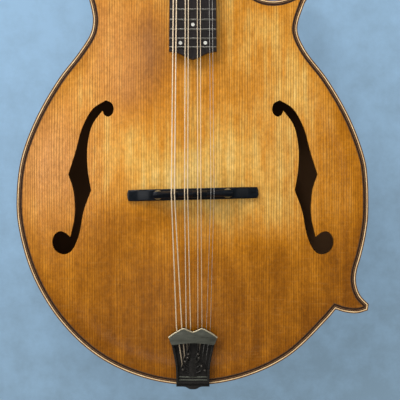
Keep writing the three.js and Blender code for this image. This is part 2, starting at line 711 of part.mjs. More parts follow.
function fretboard() {
  const width = boardHalf(fretFromNut(fretCount));
  const right = spline(boardPointShares.map(([u, v]) => point(u * width, boardEnd - v * boardDrop)), 9);
  const plan = [
    point(-nutWidth / 2, nutFromJoint), ...right.map(mirrored), ...right.slice(0, -1).reverse(),
    point(nutWidth / 2, nutFromJoint),
  ];
  const frets = Array.from({ length: fretCount }, (_, i) => {
    const y = nutFromJoint - fretFromNut(i + 1);
    const half = boardHalf(fretFromNut(i + 1));
    const section = fretShares.map(([u, v]) => point(u * fretWidth, v * fretHeight));
    const strip = prismGeometry(section, -half, half);
    return solid(strip.rotateX(Math.PI / 2).rotateZ(Math.PI / 2).translate(0, y, 0));
  });
  return frets.reduce((board, fret) => board.add(fret), prism(plan, -boardThickness, 0));
}

function boardSupport() {
  const rings = spread(-tenonLength - 2 * seam, supportEndShare * boardEnd, 5).map((y) => {
    const half = supportHalfShare * neckHalf(y);
    const corner = (x, z) => new THREE.Vector3(x, y, z).applyMatrix4(neckFrame);
    const upper = [corner(half, neckTop), corner(-half, neckTop)];
    const low = (p) => new THREE.Vector3(p.x, p.y, topOuter(0, p.y) + seam);
    return [low(upper[1]), low(upper[0]), ...upper];
  });
  return solid(loft(rings));
}

function nut() {
  const [front, back] = [nutFromJoint + seam, nutFromJoint + nutLength];
  const blank = box([-nutWidth / 2, front, neckTop + seam], [nutWidth / 2, back, nutRise]);
  const slots = strings.map(({ nutX, radius }) => {
    const half = radius + seam;
    const floor = nutStringHeight - seam;
    return box([nutX - half, front - overrun, floor], [nutX + half, back + overrun, nutRise + overrun]);
  });
  return cutAll(blank, slots);
}

// Bridge, turned a little so that the treble end lies nearer to the nut
const bridgeTurn = degToRad(1.4);
const bridgeFrame = new THREE.Matrix4()
  .makeTranslation(0, bridgeFromTail, 0)
  .multiply(new THREE.Matrix4().makeRotationZ(bridgeTurn));
const baseHalf = 62.5;
const baseWidth = 11;
const baseTopZ = 27;
const baseTipDepth = 4;
const baseBevel = 1;
const bridgePostX = 33;
const bridgePostRadius = 1.6;
const wheelRadius = 4.7;
const wheelThickness = 2;
const wheelLift = 1.4; // over the base, so that the saddle can come down
const wheelLowZ = baseTopZ + wheelLift;
const saddleLowZ = wheelLowZ + wheelThickness + seam;
const saddleHalf = 37.5;
const saddleWidth = 6.5;
const saddleCrownWidth = 2;
const saddleEndDrop = 3.2;
const saddleShoulderShare = 0.72;
const bridgePostLowZ = edgeThickness + topArch + 2 * seam;
const bridgePostRise = 4; // of a post into the saddle
const saddleTravel = 2;
const saddleBore = bridgePostRise + saddleTravel + seam;
const stringRise = nutStringHeight + actionRise;
const saddleTopZ = boardTopZ + saddleFromJoint * Math.sin(neckTilt) + stringRise * Math.cos(neckTilt);

const postBores = (gap, low, high) =>
  [-1, 1].map((side) => {
    const bore = bar(holeRadius(bridgePostRadius + gap, 8), low, high, 8);
    return bore.translate([side * bridgePostX, 0, 0]);
  });

function bridgeBase() {
  const rings = spread(-1, 1, 14).map((share) => {
    const x = share * baseHalf;
    const edgeOf = (y) => new THREE.Vector3(x, y, 0).applyMatrix4(bridgeFrame);
    const under = [-baseWidth / 2, baseWidth / 2].map(edgeOf).map((p) => topOuter(p.x, p.y));
    const low = Math.max(...under) + 2 * seam;
    const shoulder = smoothstep(Math.abs(share), 0.62, 0.86);
    const top = lerp(baseTopZ, low + baseTipDepth, shoulder);
    const half = (baseWidth / 2) * lerp(1, 0.8, smoothstep(Math.abs(share), 0.8, 1));
    const corner = (y, z) => new THREE.Vector3(x, y, z);
    return [
      corner(half, top - baseBevel), corner(half - baseBevel, top), corner(baseBevel - half, top),
      corner(-half, top - baseBevel), corner(-half, low), corner(half, low),
    ];
  });
  const bores = postBores(seam, bridgePostLowZ - seam, baseTopZ + overrun);
  return cutAll(solid(loft(rings)), bores);
}

function saddle() {
  const rings = spread(-1, 1, 10).map((share) => {
    const x = share * saddleHalf;
    const drop = saddleEndDrop * Math.abs(share) ** 6;
    const corner = (y, z) => new THREE.Vector3(x, y, z);
    const shoulder = lerp(saddleLowZ, saddleTopZ, saddleShoulderShare) - drop / 2;
    return [
      corner(saddleWidth / 2, shoulder), corner(saddleCrownWidth / 2, saddleTopZ - drop),
      corner(-saddleCrownWidth / 2, saddleTopZ - drop), corner(-saddleWidth / 2, shoulder),
      corner(-saddleWidth / 2, saddleLowZ), corner(saddleWidth / 2, saddleLowZ),
    ];
  });
  return cutAll(solid(loft(rings)), postBores(runningGap, saddleLowZ - overrun, saddleLowZ + saddleBore));
}

const bridgePost = (side) => {
  const post = bar(bridgePostRadius, bridgePostLowZ, saddleLowZ + bridgePostRise, 8);
  return post.translate([side * bridgePostX, 0, 0]);
};

function thumbWheel(side) {
  const wheel = bar(wheelRadius, wheelLowZ, wheelLowZ + wheelThickness, 16);
  const inPlace = wheel.translate([side * bridgePostX, 0, 0]);
  return cutAll(inPlace, postBores(runningGap, baseTopZ, saddleTopZ));
}

// Tailpiece: a bent plate with a crown over the strings and a peg for the loop of each
const tailHalf = 23.3;
const neckedShare = hangerHalf / tailHalf;
const crownFootShares = [0.88, 0.7];
const tailShares = [[neckedShare, -0.2], [neckedShare, 0.1], [0.71, 0.34], [0.8, 0.55], crownFootShares];
const tailLength = 54.5;
const tailPlateZ = 8;
const tailPlateThickness = 2;
const crownShares = [
  crownFootShares, [0.94, 0.76], [1, 0.835], [0.85, 0.87], [0.66, 0.9], [0.42, 0.985], [0.2, 0.95], [0, 0.925],
];
const crownLowZ = 14.2;
const crownThickness = 3;
const crownWall = 2.6;
const bendLength = 6;
const pegRadius = 1;
const pegTopZ = 14.5;
const hookSpread = 30;
const hookRows = [19.5, 29];
const hookZ = 12;
const eyeReach = 8;

const tailPoint = ([u, v]) => point(u * tailHalf, v * tailLength);
const tailRight = spline(tailShares.map(tailPoint), 7);
const crownRight = spline(crownShares.map(tailPoint), 12);
const wholeOutline = (right) => [...right, ...right.slice().reverse().map(mirrored)];

// Strings in pairs, each with its place at the nut, the saddle and the tailpiece
const strings = [-1.5, -0.5, 0.5, 1.5].flatMap((course, c) =>
  [-0.5, 0.5].map((half, h) => {
    const across = (width) => (course / 3) * (width - pairGap) + half * pairGap;
    const index = 2 * c + h;
    const side = index < 4 ? -1 : 1;
    const step = index < 4 ? index : 7 - index;
    return {
      radius: courseRadii[c],
      side,
      nutX: across(nutSpread),
      saddleX: across(saddleSpread),
      hookX: lerp(-hookSpread / 2, hookSpread / 2, index / 7),
      hookY: hookRows[index % 2 ? 1 : 0],
      post: tuners.find((tuner) => tuner.side === side && tuner.y === firstPost + step * postPitch),
    };
  }),
);

function tailpiece() {
  const outline = wholeOutline([...tailRight, ...crownRight.slice(1)]);
  const inner = -seam;
  const outer = -seam - hangerThickness;
  const [plateLow, plateTop] = [tailPlateZ, tailPlateZ + tailPlateThickness];
  const side = [
    point(outer, -hangerDrop), point(inner, -hangerDrop), point(inner, edgeThickness + seam),
    point(bendLength, plateLow), point(tailLength + overrun, plateLow), point(tailLength + overrun, plateTop),
    point(bendLength, plateTop), point(outer, edgeThickness + seam),
  ];
  const bent = solid(
    prismGeometry(side, -tailHalf - overrun, tailHalf + overrun).rotateX(Math.PI / 2).rotateZ(Math.PI / 2),
  ).intersect(prism(outline, -hangerDrop - overrun, plateTop + overrun));
  const crown = prism(wholeOutline(crownRight), plateLow, crownLowZ + crownThickness);
  const roomHalf = tailHalf * crownFootShares[0] - crownWall;
  const room = box([-roomHalf, 0, plateTop], [roomHalf, tailLength + overrun, crownLowZ]);
  const peg = bar(pegRadius, plateLow + seam, pegTopZ, 8);
  const pegs = strings.map(({ hookX, hookY }) => peg.translate([hookX, hookY, 0]));
  const whole = pegs.reduce((made, one) => made.add(one), bent.add(crown).subtract(room));
  return cutAll(whole, tailScrewHoles);
}

function tailScrew([x, z]) {
  const shank = solid(
    alongTail(barGeometry(tailScrewRadius, -tailScrewLength, hangerThickness + tailScrewHeadHeight, 8), x, z),
  );
  const seat = hangerThickness + 2 * seam;
  const head = solid(alongTail(barGeometry(tailScrewHead, seat, seat + tailScrewHeadHeight, 12), x, z));
  return shank.add(head);
}

// The route of one string, from the end of its loop on the peg to the last turn on its post
const windingTurns = 2.2;
const windingSteps = 12;
const windingTopZ = 5.6;
const windingGap = 0.6; // between one turn and the next
const stringSides = 5;
const measureStep = 0.4;
const woundRadius = 0.3; // a string thicker than this is wound

function eyeAround({ hookX, hookY, radius }) {
  const turn = pegRadius + seam + radius;
  const half = Math.acos(turn / eyeReach);
  const legEnd = 0.5;
  const onCircle = (angle) =>
    new THREE.Vector3(hookX + turn * Math.cos(angle), hookY + turn * Math.sin(angle), hookZ);
  const circle = spread(Math.PI / 2 - half, Math.PI / 2 + half - 2 * Math.PI, 8).map(onCircle);
  const apex = new THREE.Vector3(hookX, hookY + eyeReach, hookZ);
  return [circle[0].clone().lerp(apex, legEnd), ...circle, apex];
}

function windingOn({ post, side, radius }, from) {
  const turn = postRadius + seam + radius;
  const away = point(from.x - post.x, from.y - post.y);
  const start = away.angle() + side * -Math.acos(turn / away.length());
  const pitch = 2 * radius + windingGap;
  return spread(0, windingTurns, Math.round(windingTurns * windingSteps)).map((n) => {
    const angle = start - side * n * 2 * Math.PI;
    return new THREE.Vector3(
      post.x + turn * Math.cos(angle), post.y + turn * Math.sin(angle), windingTopZ - n * pitch,
    );
  });
}

function stringRoute(string) {
  const { radius, nutX, saddleX } = string;
  const onBoard = (x, y, z) => new THREE.Vector3(x, y, z).applyMatrix4(neckFrame);
  const saddleY = -saddleFromJoint + saddleX * Math.tan(bridgeTurn);
  const atSaddle = onBoard(saddleX, saddleY, stringRise + radius + seam);
  const atNut = onBoard(nutX, nutFromJoint, nutStringHeight + radius);
  const offNut = onBoard(nutX, nutFromJoint + nutLength, nutStringHeight + radius);
  const nutInHead = offNut.clone().applyMatrix4(headWorld.clone().invert());
  const winding = windingOn(string, nutInHead).map((p) => p.applyMatrix4(headWorld));
  const eye = eyeAround(string);
  const apex = eye.at(-1);
  const crownShare = (tailLength + seam - apex.y) / (atSaddle.y - apex.y);
  const underCrown = apex.clone().lerp(atSaddle, crownShare).setZ(crownLowZ - seam - radius);
  return [...eye, underCrown, atSaddle, atNut, offNut, ...winding];
}

// A round tube along a route, turned as little as possible from one ring to the next
function tube(route, radius) {
  const ways = route.slice(1).map((p, i) => p.clone().sub(route[i]).normalize());
  let across = new THREE.Vector3(0, 0, 1).cross(ways[0]).normalize();
  const rings = route.map((p, i) => {
    const before = ways[Math.max(i - 1, 0)];
    const after = ways[Math.min(i, ways.length - 1)];
    const way = before.clone().add(after).normalize();
    across = across.clone().addScaledVector(way, -across.dot(way)).normalize();
    const up = way.clone().cross(across);
    return spread(0, 2 * Math.PI, stringSides).slice(0, -1).map((turn) =>
      p.clone().addScaledVector(across, radius * Math.cos(turn)).addScaledVector(up, radius * Math.sin(turn)),
    );
  });
  return loft(rings);
}

// The least gap between two places on one string that are far apart along it
function leastGap(route, radius) {
  const curve = new THREE.CurvePath();
  for (let i = 0; i + 1 < route.length; i++) curve.add(new THREE.LineCurve3(route[i], route[i + 1]));
  const near = curve.getSpacedPoints(Math.round(curve.getLength() / measureStep));
  const apart = Math.ceil((4 * Math.PI * radius + 2 * postRadius) / measureStep);
  let least = Infinity;
  for (let i = 0; i < near.length; i++) {
    for (let j = i + apart; j < near.length; j++) least = Math.min(least, near[i].distanceTo(near[j]));
  }
  return least - 2 * radius;
}

// One post with its gear, and one worm with its shaft and knob
function gearOutline() {
  return Array.from({ length: 2 * gearTeeth }, (_, i) => {
    const angle = (Math.PI * (i + 0.5)) / gearTeeth;
    const radius = i % 2 ? gearRoot : gearRadius;
    return point(radius * Math.cos(angle), radius * Math.sin(angle));
  });
}

function postAndGear({ x, y }) {
  const stem = bar(postRadius, gearTopZ - gearThickness / 2, postTop, 10);
  const gear = prism(gearOutline(), gearTopZ - gearThickness, gearTopZ);
  return stem.add(gear).translate([x, y, 0]);
}

function wormAndKnob({ side, x, y }) {
  const alongX = (geometry) => geometry.rotateY(Math.PI / 2);
  const start = Math.abs(x) - wormLength / 2;
  const worm = solid(alongX(barGeometry(wormRadius, start, start + wormLength, 10)));
  const shaft = solid(alongX(barGeometry(shaftRadius, start - shaftEnd, knobStart + knobSink, 6)));
  const knobRight = knobShares.map(([u, v]) => point(knobStart + u * knobLength, v * knobHalf));
  const knobPlan = [...knobRight.slice().reverse(), ...knobRight.map((p) => point(p.x, -p.y))];
  const knob = prism(knobPlan, -knobThickness / 2, knobThickness / 2);
  const whole = worm.add(shaft).add(knob).translate([0, y + wormOffset, wormZ]);
  return side > 0 ? whole : whole.mirror([1, 0, 0]);
}

function tunerPlate(side) {
  const own = tuners.filter((tuner) => tuner.side === side);
  const [low, high] = [own[0].y - tunerPlateEnd, own.at(-1).y + wormOffset + tunerPlateEnd];
  const half = tunerPlateWidth / 2;
  const plate = box([side * postRow - half, low, plateLowZ], [side * postRow + half, high, plateTopZ]);
  const ears = own.flatMap(({ y }) =>
    [-1, 1].map((end) => {
      const x = side * postRow + (end * (wormLength + earThickness)) / 2 + end * earGap;
      const half = earThickness / 2;
      const ear = box([-half, -earHalf, -earDrop], [half, earHalf, plateTopZ - wormZ]);
      const bore = barGeometry(holeRadius(shaftRadius + runningGap, 6), -overrun, overrun, 6);
      return ear.subtract(solid(bore.rotateY(Math.PI / 2))).translate([x, y + wormOffset, wormZ]);
    }),
  );
  const whole = ears.reduce((made, ear) => made.add(ear), plate);
  return cutAll(whole, own.map((tuner) => postHole(tuner, plateLowZ - overrun, plateTopZ + overrun)));
}

// Finishes: colour, roughness and metalness
const finish = (color, roughness, metalness = 0) =>
  new THREE.MeshStandardMaterial({ color, roughness, metalness });
const finishes = {
  spruce: finish("#c58840", 0.4),
  maple: finish("#9a5a26", 0.35),
  innerSpruce: finish("#d9bd8c", 0.8),
  mahogany: finish("#9b6240", 0.8),
  binding: finish("#cdbb98", 0.5),
  ebony: finish("#24211f", 0.45),
  bone: finish("#e6dcc4", 0.5),
  rodSteel: finish("#84868a", 0.45, 1),
  cover: finish("#17130f", 0.3),
  fretSilver: finish("#3a3532", 0.5),
  bronzeCasting: finish("#4a4840", 0.45, 0.9),
  brass: finish("#b3924f", 0.35, 1),
  nickel: finish("#b9b7b0", 0.3, 1),
  woundString: finish("#c9b79a", 0.35, 1),
  plainString: finish("#c4c6c8", 0.25, 1),
};

// Assembly: the instrument, and in it the neck, the headstock on the neck, and the bridge
const group = new THREE.Group();
const instrument = new THREE.Group();
group.add(instrument);

function carrier(frame, parent) {
  const made = new THREE.Group();
  made.applyMatrix4(frame);
  parent.add(made);
  return made;
}
const onNeck = carrier(neckFrame, instrument);
const onHead = carrier(headFrame, onNeck);
const onBridge = carrier(bridgeFrame, instrument);

function put(name, made, material, parent = instrument) {
  const geometry = made.isBufferGeometry ? made : geometryOf(made);
  const mesh = new THREE.Mesh(geometry, finishes[material]);
  mesh.name = name;
  parent.add(mesh);
}
const ends = [[-1, "bass"], [1, "treble"]];

put("top_plate", topPlate(), "spruce");
put("back_plate", backPlate(), "maple");
Object.entries(ribs()).forEach(([name, rib]) => put(name, rib, "maple"));
put("head_block", headBlock(), "mahogany");
put("tail_block", tailBlock(), "mahogany");
put("lower_point_block", notchedBlock(lowerPointShares.map(place)), "mahogany");
put("upper_point_block", notchedBlock(upperPointShares.map(place)), "mahogany");
put("top_lining", lining(...topLiningZ), "innerSpruce");
put("back_lining", lining(...backLiningZ), "innerSpruce");
ends.forEach(([side, name]) => put(`tone_bar_${name}`, toneBar(side), "innerSpruce"));
put("top_binding", binding(seam, edgeThickness), "binding");
put("back_binding", binding(-rimDepth - edgeThickness, -rimDepth - seam), "binding");
put("neck", neck(), "maple");
put("headstock_veneer", headVeneer(), "ebony", onHead);
put("truss_rod", trussRod(), "rodSteel", onNeck);
put("truss_rod_nut", trussRodNut(), "brass", onNeck);
put("truss_rod_cover", rodCover(), "cover", onHead);
put("fretboard", fretboard(), "fretSilver", onNeck);
put("fretboard_support", boardSupport(), "maple");
put("nut", nut(), "bone", onNeck);
put("bridge_base", bridgeBase(), "ebony", onBridge);
put("saddle", saddle(), "ebony", onBridge);
ends.forEach(([side, name]) => {
  put(`bridge_post_${name}`, bridgePost(side), "brass", onBridge);
  put(`thumbwheel_${name}`, thumbWheel(side), "brass", onBridge);
  put(`tuner_plate_${name}`, tunerPlate(side), "nickel", onHead);
});
put("tailpiece", tailpiece(), "bronzeCasting");
tailScrewPlaces.forEach((at, i) => put(`tailpiece_screw_${i + 1}`, tailScrew(at), "nickel"));
tuners.forEach((tuner, i) => {
  put(`tuner_post_${i + 1}`, postAndGear(tuner), "brass", onHead);
  put(`tuner_worm_${i + 1}`, wormAndKnob(tuner), "nickel", onHead);
});
strings.forEach((string, i) => {
  const route = stringRoute(string);
  const material = string.radius > woundRadius ? "woundString" : "plainString";
  put(`string_${i + 1}`, tube(route, string.radius), material);
  console.log(`string_${i + 1} least gap to itself ${leastGap(route, string.radius).toFixed(2)} mm`);
});

// The origin is under the middle of the whole instrument, at the level of its lowest point.
instrument.updateMatrixWorld(true);
const bounds = new THREE.Box3().setFromObject(instrument, true);
const shift = bounds.getCenter(new THREE.Vector3()).setZ(bounds.min.z).negate();
instrument.position.copy(shift);
instrument.updateMatrixWorld(true);

// What the record states: sizes, joint places and mount places
const spot = (x, y, z, owner = instrument) =>
  new THREE.Vector3(x, y, z).applyMatrix4(owner.matrixWorld).toArray().map((n) => n.toFixed(3)).join(", ");
console.log(`size ${bounds.getSize(new THREE.Vector3()).toArray().map((n) => n.toFixed(2))}`);
console.log(`rim corner of the construction at ${spot(0, 0, 0)}`);
tuners.forEach((tuner, i) => {
  console.log(`post ${i + 1} at ${spot(tuner.x, tuner.y, 0, onHead)}`);
  console.log(`worm ${i + 1} at ${spot(tuner.side * knobStart, tuner.y + wormOffset, wormZ, onHead)}`);
});
ends.forEach(([side, name]) => {
  console.log(`wheel ${name} at ${spot(side * bridgePostX, 0, wheelLowZ, onBridge)}`);
});
console.log(`truss rod nut at ${spot(0, rodEnd, rodZ, onNeck)}`);
console.log(`headstock face at ${spot(0, facePlaceShare * headLength, 0, onHead)}`);
console.log(`tailpiece face at ${spot(0, -seam - hangerThickness, -hangerDrop / 2)}`);

export default group;
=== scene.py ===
"""Looks of a carved octave mandolin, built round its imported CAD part.

Shapes are worked out in millimetres and become metres when a piece is finished.
While a piece is made, x runs to the treble side, y is 0 at the tail of the rim and z is 0 where the rim meets the top.
"""

import json
import math

import bmesh
import bpy
import numpy as np
from bpy.props import FloatProperty, FloatVectorProperty, IntProperty, PointerProperty
from mathutils import Matrix, Vector
from mathutils.geometry import tessellate_polygon


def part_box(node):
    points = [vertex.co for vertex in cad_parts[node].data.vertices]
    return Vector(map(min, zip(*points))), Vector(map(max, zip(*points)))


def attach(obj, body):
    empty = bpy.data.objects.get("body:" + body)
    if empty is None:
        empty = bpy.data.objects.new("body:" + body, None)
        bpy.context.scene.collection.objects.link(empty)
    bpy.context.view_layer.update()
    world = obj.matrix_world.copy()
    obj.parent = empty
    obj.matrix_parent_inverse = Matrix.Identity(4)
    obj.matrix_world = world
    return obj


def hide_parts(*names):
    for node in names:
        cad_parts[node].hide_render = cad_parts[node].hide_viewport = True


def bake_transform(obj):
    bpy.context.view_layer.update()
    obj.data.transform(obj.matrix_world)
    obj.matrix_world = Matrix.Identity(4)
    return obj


bl_info = {
    "name": "Octave mandolin",
    "version": (1, 0, 0),
    "blender": (4, 5, 0),
    "location": "3D View > Sidebar > Mandolin",
    "description": "Builds the looks of a carved octave mandolin round its CAD part",
    "category": "Object",
}

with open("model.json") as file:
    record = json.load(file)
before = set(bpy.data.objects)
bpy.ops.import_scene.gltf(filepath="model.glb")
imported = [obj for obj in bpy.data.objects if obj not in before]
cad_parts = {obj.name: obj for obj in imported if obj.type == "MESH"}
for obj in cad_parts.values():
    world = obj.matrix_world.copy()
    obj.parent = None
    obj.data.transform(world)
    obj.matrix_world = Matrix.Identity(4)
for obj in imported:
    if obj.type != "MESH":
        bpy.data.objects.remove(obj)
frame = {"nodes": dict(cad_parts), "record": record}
bpy.context.view_layer.update()

MM = 0.001
TAU = 2 * math.pi
# All sizes are in millimetres. Two points closer than this are merged, on a finished piece and in work
WELD = 2e-4
WORK_WELD = 1e-4
# Clearances
SEAM = 0.3
TOUCH = 0.02
OVERRUN = 2  # of a cutter past what it cuts
SIDES = ((-1, "bass"), (1, "treble"))

# Driving sizes, as in the CAD part
SCALE_LENGTH = 559
FRET_COUNT = 24
JOINT_FRET = 15
LOWER_BOUT = 340
BRIDGE_FROM_TAIL = 184
RIM_DEPTH = 50
NECK_TILT = math.radians(4.5)
HEAD_TILT = math.radians(11)
BRIDGE_TURN = math.radians(1.4)
EDGE_THICKNESS = 5
TOP_ARCH = 16
BACK_ARCH = 15
INNER_ARCH_SHARE = 0.97
EDGE_FLAT = 9
RIB_THICKNESS = 2.4
BINDING_WIDTH = 5.4
NUT_WIDTH = 38
BOARD_END_WIDTH = 45.3
BOARD_THICKNESS = 5.5
BOARD_OVERHANG = 3.7
BOARD_DROP = 7.9
FRET_WIDTH = 2.3
FRET_HEIGHT = 1.1
EXTENSION_LIFT = 7.5
SHOULDER_WIDTH = 4
NUT_LENGTH = 5
NUT_RISE = 2.4
COURSE_RADII = (0.58, 0.43, 0.29, 0.17)
PAIR_GAP = 2.9
NUT_SPREAD = 30.5
SADDLE_SPREAD = 40
NUT_STRING_HEIGHT = 1.75
ACTION_RISE = 3.6
WOUND_RADIUS = 0.25  # a string thicker than this is wound


def fret_from_nut(n):
    """The scale length times one minus two to the power of minus n twelfths."""
    return SCALE_LENGTH * (1 - 2.0 ** (-np.asarray(n) / 12))


BOARD_TOP = EDGE_THICKNESS + EXTENSION_LIFT + BOARD_THICKNESS
NUT_FROM_JOINT = float(fret_from_nut(JOINT_FRET))
SADDLE_FROM_JOINT = SCALE_LENGTH - NUT_FROM_JOINT
BODY_LENGTH = BRIDGE_FROM_TAIL + SADDLE_FROM_JOINT * math.cos(NECK_TILT)
HALF_BOUT = LOWER_BOUT / 2
STRING_RISE = NUT_STRING_HEIGHT + ACTION_RISE
SADDLE_TOP = BOARD_TOP + SADDLE_FROM_JOINT * math.sin(NECK_TILT) + STRING_RISE * math.cos(NECK_TILT)

# Where that construction lies in the part's own frame, from the boxes of three CAD nodes
BOARD_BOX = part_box("fretboard")
CAD_TAIL_REACH = 2.7  # how far the tailpiece of the CAD stands out past the tail of the rim
ORIGIN = np.array([
    (BOARD_BOX[0].x + BOARD_BOX[1].x) / 2 / MM,
    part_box("tailpiece")[0].y / MM + CAD_TAIL_REACH,
    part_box("rib_bass")[1].z / MM,
])

NECK_FRAME = Matrix.Translation((0, BODY_LENGTH, BOARD_TOP)) @ Matrix.Rotation(-NECK_TILT, 4, "X")
HEAD_START = (0, NUT_FROM_JOINT + NUT_LENGTH, -BOARD_THICKNESS)
HEAD_FRAME = NECK_FRAME @ Matrix.Translation(HEAD_START) @ Matrix.Rotation(-HEAD_TILT, 4, "X")
BRIDGE_FRAME = Matrix.Translation((0, BRIDGE_FROM_TAIL, 0)) @ Matrix.Rotation(BRIDGE_TURN, 4, "Z")


# ---- numbers and lines


def mix(a, b, share):
    """a plus share of the way to b."""
    return a + (b - a) * share


def ease(value, low=0.0, high=1.0):
    """Three s squared minus two s cubed, where s is the share of the way from low to high, from 0 to 1."""
    share = np.clip((np.asarray(value, float) - low) / (high - low), 0, 1)
    return share * share * (3 - 2 * share)


def wave(share):
    """Half of one minus the cosine of a half turn times the share, which is held between 0 and 1."""
    return (1 - np.cos(np.pi * np.clip(share, 0, 1))) / 2


def moved(points, matrix):
    """Each point turned and shifted by a frame."""
    whole = np.array(matrix)
    return np.asarray(points, float) @ whole[:3, :3].T + whole[:3, 3]


def circle(angle, radius):
    """Points at angles round the origin, each as far out as its radius: that times the cosine and the sine."""
    return np.stack([np.cos(angle), np.sin(angle)], -1) * np.asarray(radius)[..., None]


def way_along(line):
    """How far along a line each of its points lies: the sum of the spans before it."""
    return np.concatenate([[0], np.cumsum(np.linalg.norm(np.diff(line, axis=0), axis=1))])


def resampled(line, steps):
    """The same line as points at equal distances along it."""
    line = np.asarray(line, float)
    along = way_along(line)
    wanted = np.linspace(0, along[-1], steps + 1)
    return np.stack([np.interp(wanted, along, axis) for axis in line.T], -1)


def spline(points, steps):
    """A smooth line through the points: on each span a cubic, whose end slopes weigh the spans on either side by
    the root of their length.
    """
    p = np.asarray(points, float)
    p = np.vstack([2 * p[0] - p[1], p, 2 * p[-1] - p[-2]])
    d = np.sqrt(np.linalg.norm(np.diff(p, axis=0), axis=1))[:, None]
    before, own, after = d[:-2], d[1:-1], d[2:]
    p0, p1, p2, p3 = p[:-3], p[1:-2], p[2:-1], p[3:]
    leave = ((p1 - p0) / before - (p2 - p0) / (before + own) + (p2 - p1) / own) * own
    arrive = ((p2 - p1) / own - (p3 - p1) / (own + after) + (p3 - p2) / after) * own
    t = np.linspace(0, 1, 24, endpoint=False)[None, :, None]
    p1, p2, leave, arrive = (v[:, None, :] for v in (p1, p2, leave, arrive))
    cubic = 2 * p1 - 2 * p2 + leave + arrive
    square = -3 * p1 + 3 * p2 - 2 * leave - arrive
    line = (((cubic * t + square) * t + leave) * t + p1).reshape(-1, p.shape[1])
    return resampled(np.vstack([line, p[-2]]), steps)


def scaled_line(shares, size, steps):
    """A smooth line through shares of a size."""
    return spline(np.array(shares) * size, steps)


def mirrored(points):
    """The points on the other side of the middle."""
    return np.asarray(points, float) * np.array([-1, 1])


def both_halves(right):
    """A line on the right side that ends in the middle, and its mirror image back."""
    return np.vstack([right, mirrored(right[-2::-1])])


def cross(a, b):
    """The height of the cross product of flat vectors."""
    return a[..., 0] * b[..., 1] - a[..., 1] * b[..., 0]


# ---- closed shapes, as points and faces


def quads(rows, columns, closed=False):
    """The four corners of each cell between two rows of a grid, and of the cell that closes a row."""
    i = np.arange(rows - 1)[:, None]
    j = np.arange(columns if closed else columns - 1)[None, :]
    a = i * columns + j
    b = i * columns + (j + 1) % columns
    return np.stack([a, b, b + columns, a + columns], -1).reshape(-1, 4).tolist()


def loft(rings):
    """A closed skin through rings that all have as many points, with a flat face over each end."""
    rings = np.asarray(rings, float)
    count, size = rings.shape[:2]
    faces = quads(count, size, closed=True)
    faces += [list(range(size))[::-1], list(range((count - 1) * size, count * size))]
    return rings.reshape(-1, 3), faces


def hoop(rings):
    """A closed skin through rings whose last one joins the first, as on a washer."""
    rings = np.asarray(rings, float)
    count, size = rings.shape[:2]
    faces = quads(count, size, closed=True)
    last = (count - 1) * size
    faces += [[last + k, last + (k + 1) % size, (k + 1) % size, k] for k in range(size)]
    return rings.reshape(-1, 3), faces


def prism(outline, low, high, holes=()):
    """A flat outline, with holes, standing from one height to another, each of which may differ from point to point.
    """
    loops = [np.asarray(outline, float), *[np.asarray(h, float) for h in holes]]
    flat = np.vstack(loops)
    count = len(flat)
    caps = tessellate_polygon([[Vector((x, y, 0)) for x, y in loop] for loop in loops])
    points = np.vstack([np.column_stack([flat, np.full(count, z)]) for z in (low, high)])
    faces = [list(t) for t in caps] + [[i + count for i in t[::-1]] for t in caps]
    start = 0
    for loop in loops:
        own = start + np.arange(len(loop))
        after = np.roll(own, -1)
        faces += np.stack([own, after, after + count, own + count], -1).tolist()
        start += len(loop)
    return points, faces


def block(low, high):
    """A box between two corners."""
    (x0, y0, z0), (x1, y1, z1) = low, high
    return prism([(x0, y0), (x1, y0), (x1, y1), (x0, y1)], z0, z1)


def revolved(profile, sides, closed=False, teeth=0, tooth_depth=0.0, knurl_from=0.0):
    """A profile of radius and height turned about z. Past knurl_from each radius drops by tooth_depth times half of
    one minus the cosine of teeth turns.
    """
    profile = np.asarray(profile, float)
    angle = np.linspace(0, TAU, sides, endpoint=False)[None, :]
    radius = profile[:, :1] + 0 * angle
    radius = radius - (radius > knurl_from) * tooth_depth * (1 - np.cos(teeth * angle)) / 2
    rings = np.stack([radius * np.cos(angle), radius * np.sin(angle), profile[:, 1:] + 0 * angle], -1)
    return hoop(rings) if closed else loft(rings)


def tube(path, radius, sides=10, upright=False):
    """A round bar along a path: each ring lies across it, on a line square to the path and another square to both.
    The first is level, or on an upright path it is the x axis less its share along the path.
    """
    path = np.asarray(path, float)
    way = np.gradient(path, axis=0)
    way /= np.linalg.norm(way, axis=1)[:, None]
    level = np.array([1.0, 0, 0]) - way * way[:, :1] if upright else np.cross([0, 0, 1], way)
    level /= np.linalg.norm(level, axis=1)[:, None]
    up = np.cross(way, level)
    angle = np.linspace(0, TAU, sides, endpoint=False)[None, :, None]
    size = np.broadcast_to(np.asarray(radius, float), len(path))[:, None, None]
    rings = path[:, None] + size * (np.cos(angle) * level[:, None] + np.sin(angle) * up[:, None])
    return loft(rings)


def threaded(radius, depth, pitch, low, high, sides=20, steps_per_turn=8):
    """A screw thread about z: the radius less depth times how far the height, less the pitch times the share of a
    turn, lies from a crest. Both ends are a quarter smaller.
    """
    rows = max(int((high - low) / pitch * steps_per_turn), 4)
    z = np.linspace(low, high, rows)[:, None]
    angle = np.linspace(0, TAU, sides, endpoint=False)[None, :]
    phase = (z / pitch - angle / TAU) % 1
    size = radius - depth * (1 - np.abs(2 * phase - 1))
    size = size * (1 - 0.25 * (np.arange(rows)[:, None] % (rows - 1) == 0))
    return loft(np.stack([size * np.cos(angle), size * np.sin(angle), z + 0 * angle], -1))


def joined(shapes):
    """Several shapes as one list of points and faces."""
    points, faces, start = [], [], 0
    for own_points, own_faces in shapes:
        points.append(own_points)
        faces += [[i + start for i in face] for face in own_faces]
        start += len(own_points)
    return np.vstack(points), faces


def placed(shape, matrix):
    """A shape turned and shifted by a frame."""
    return moved(shape[0], matrix), shape[1]


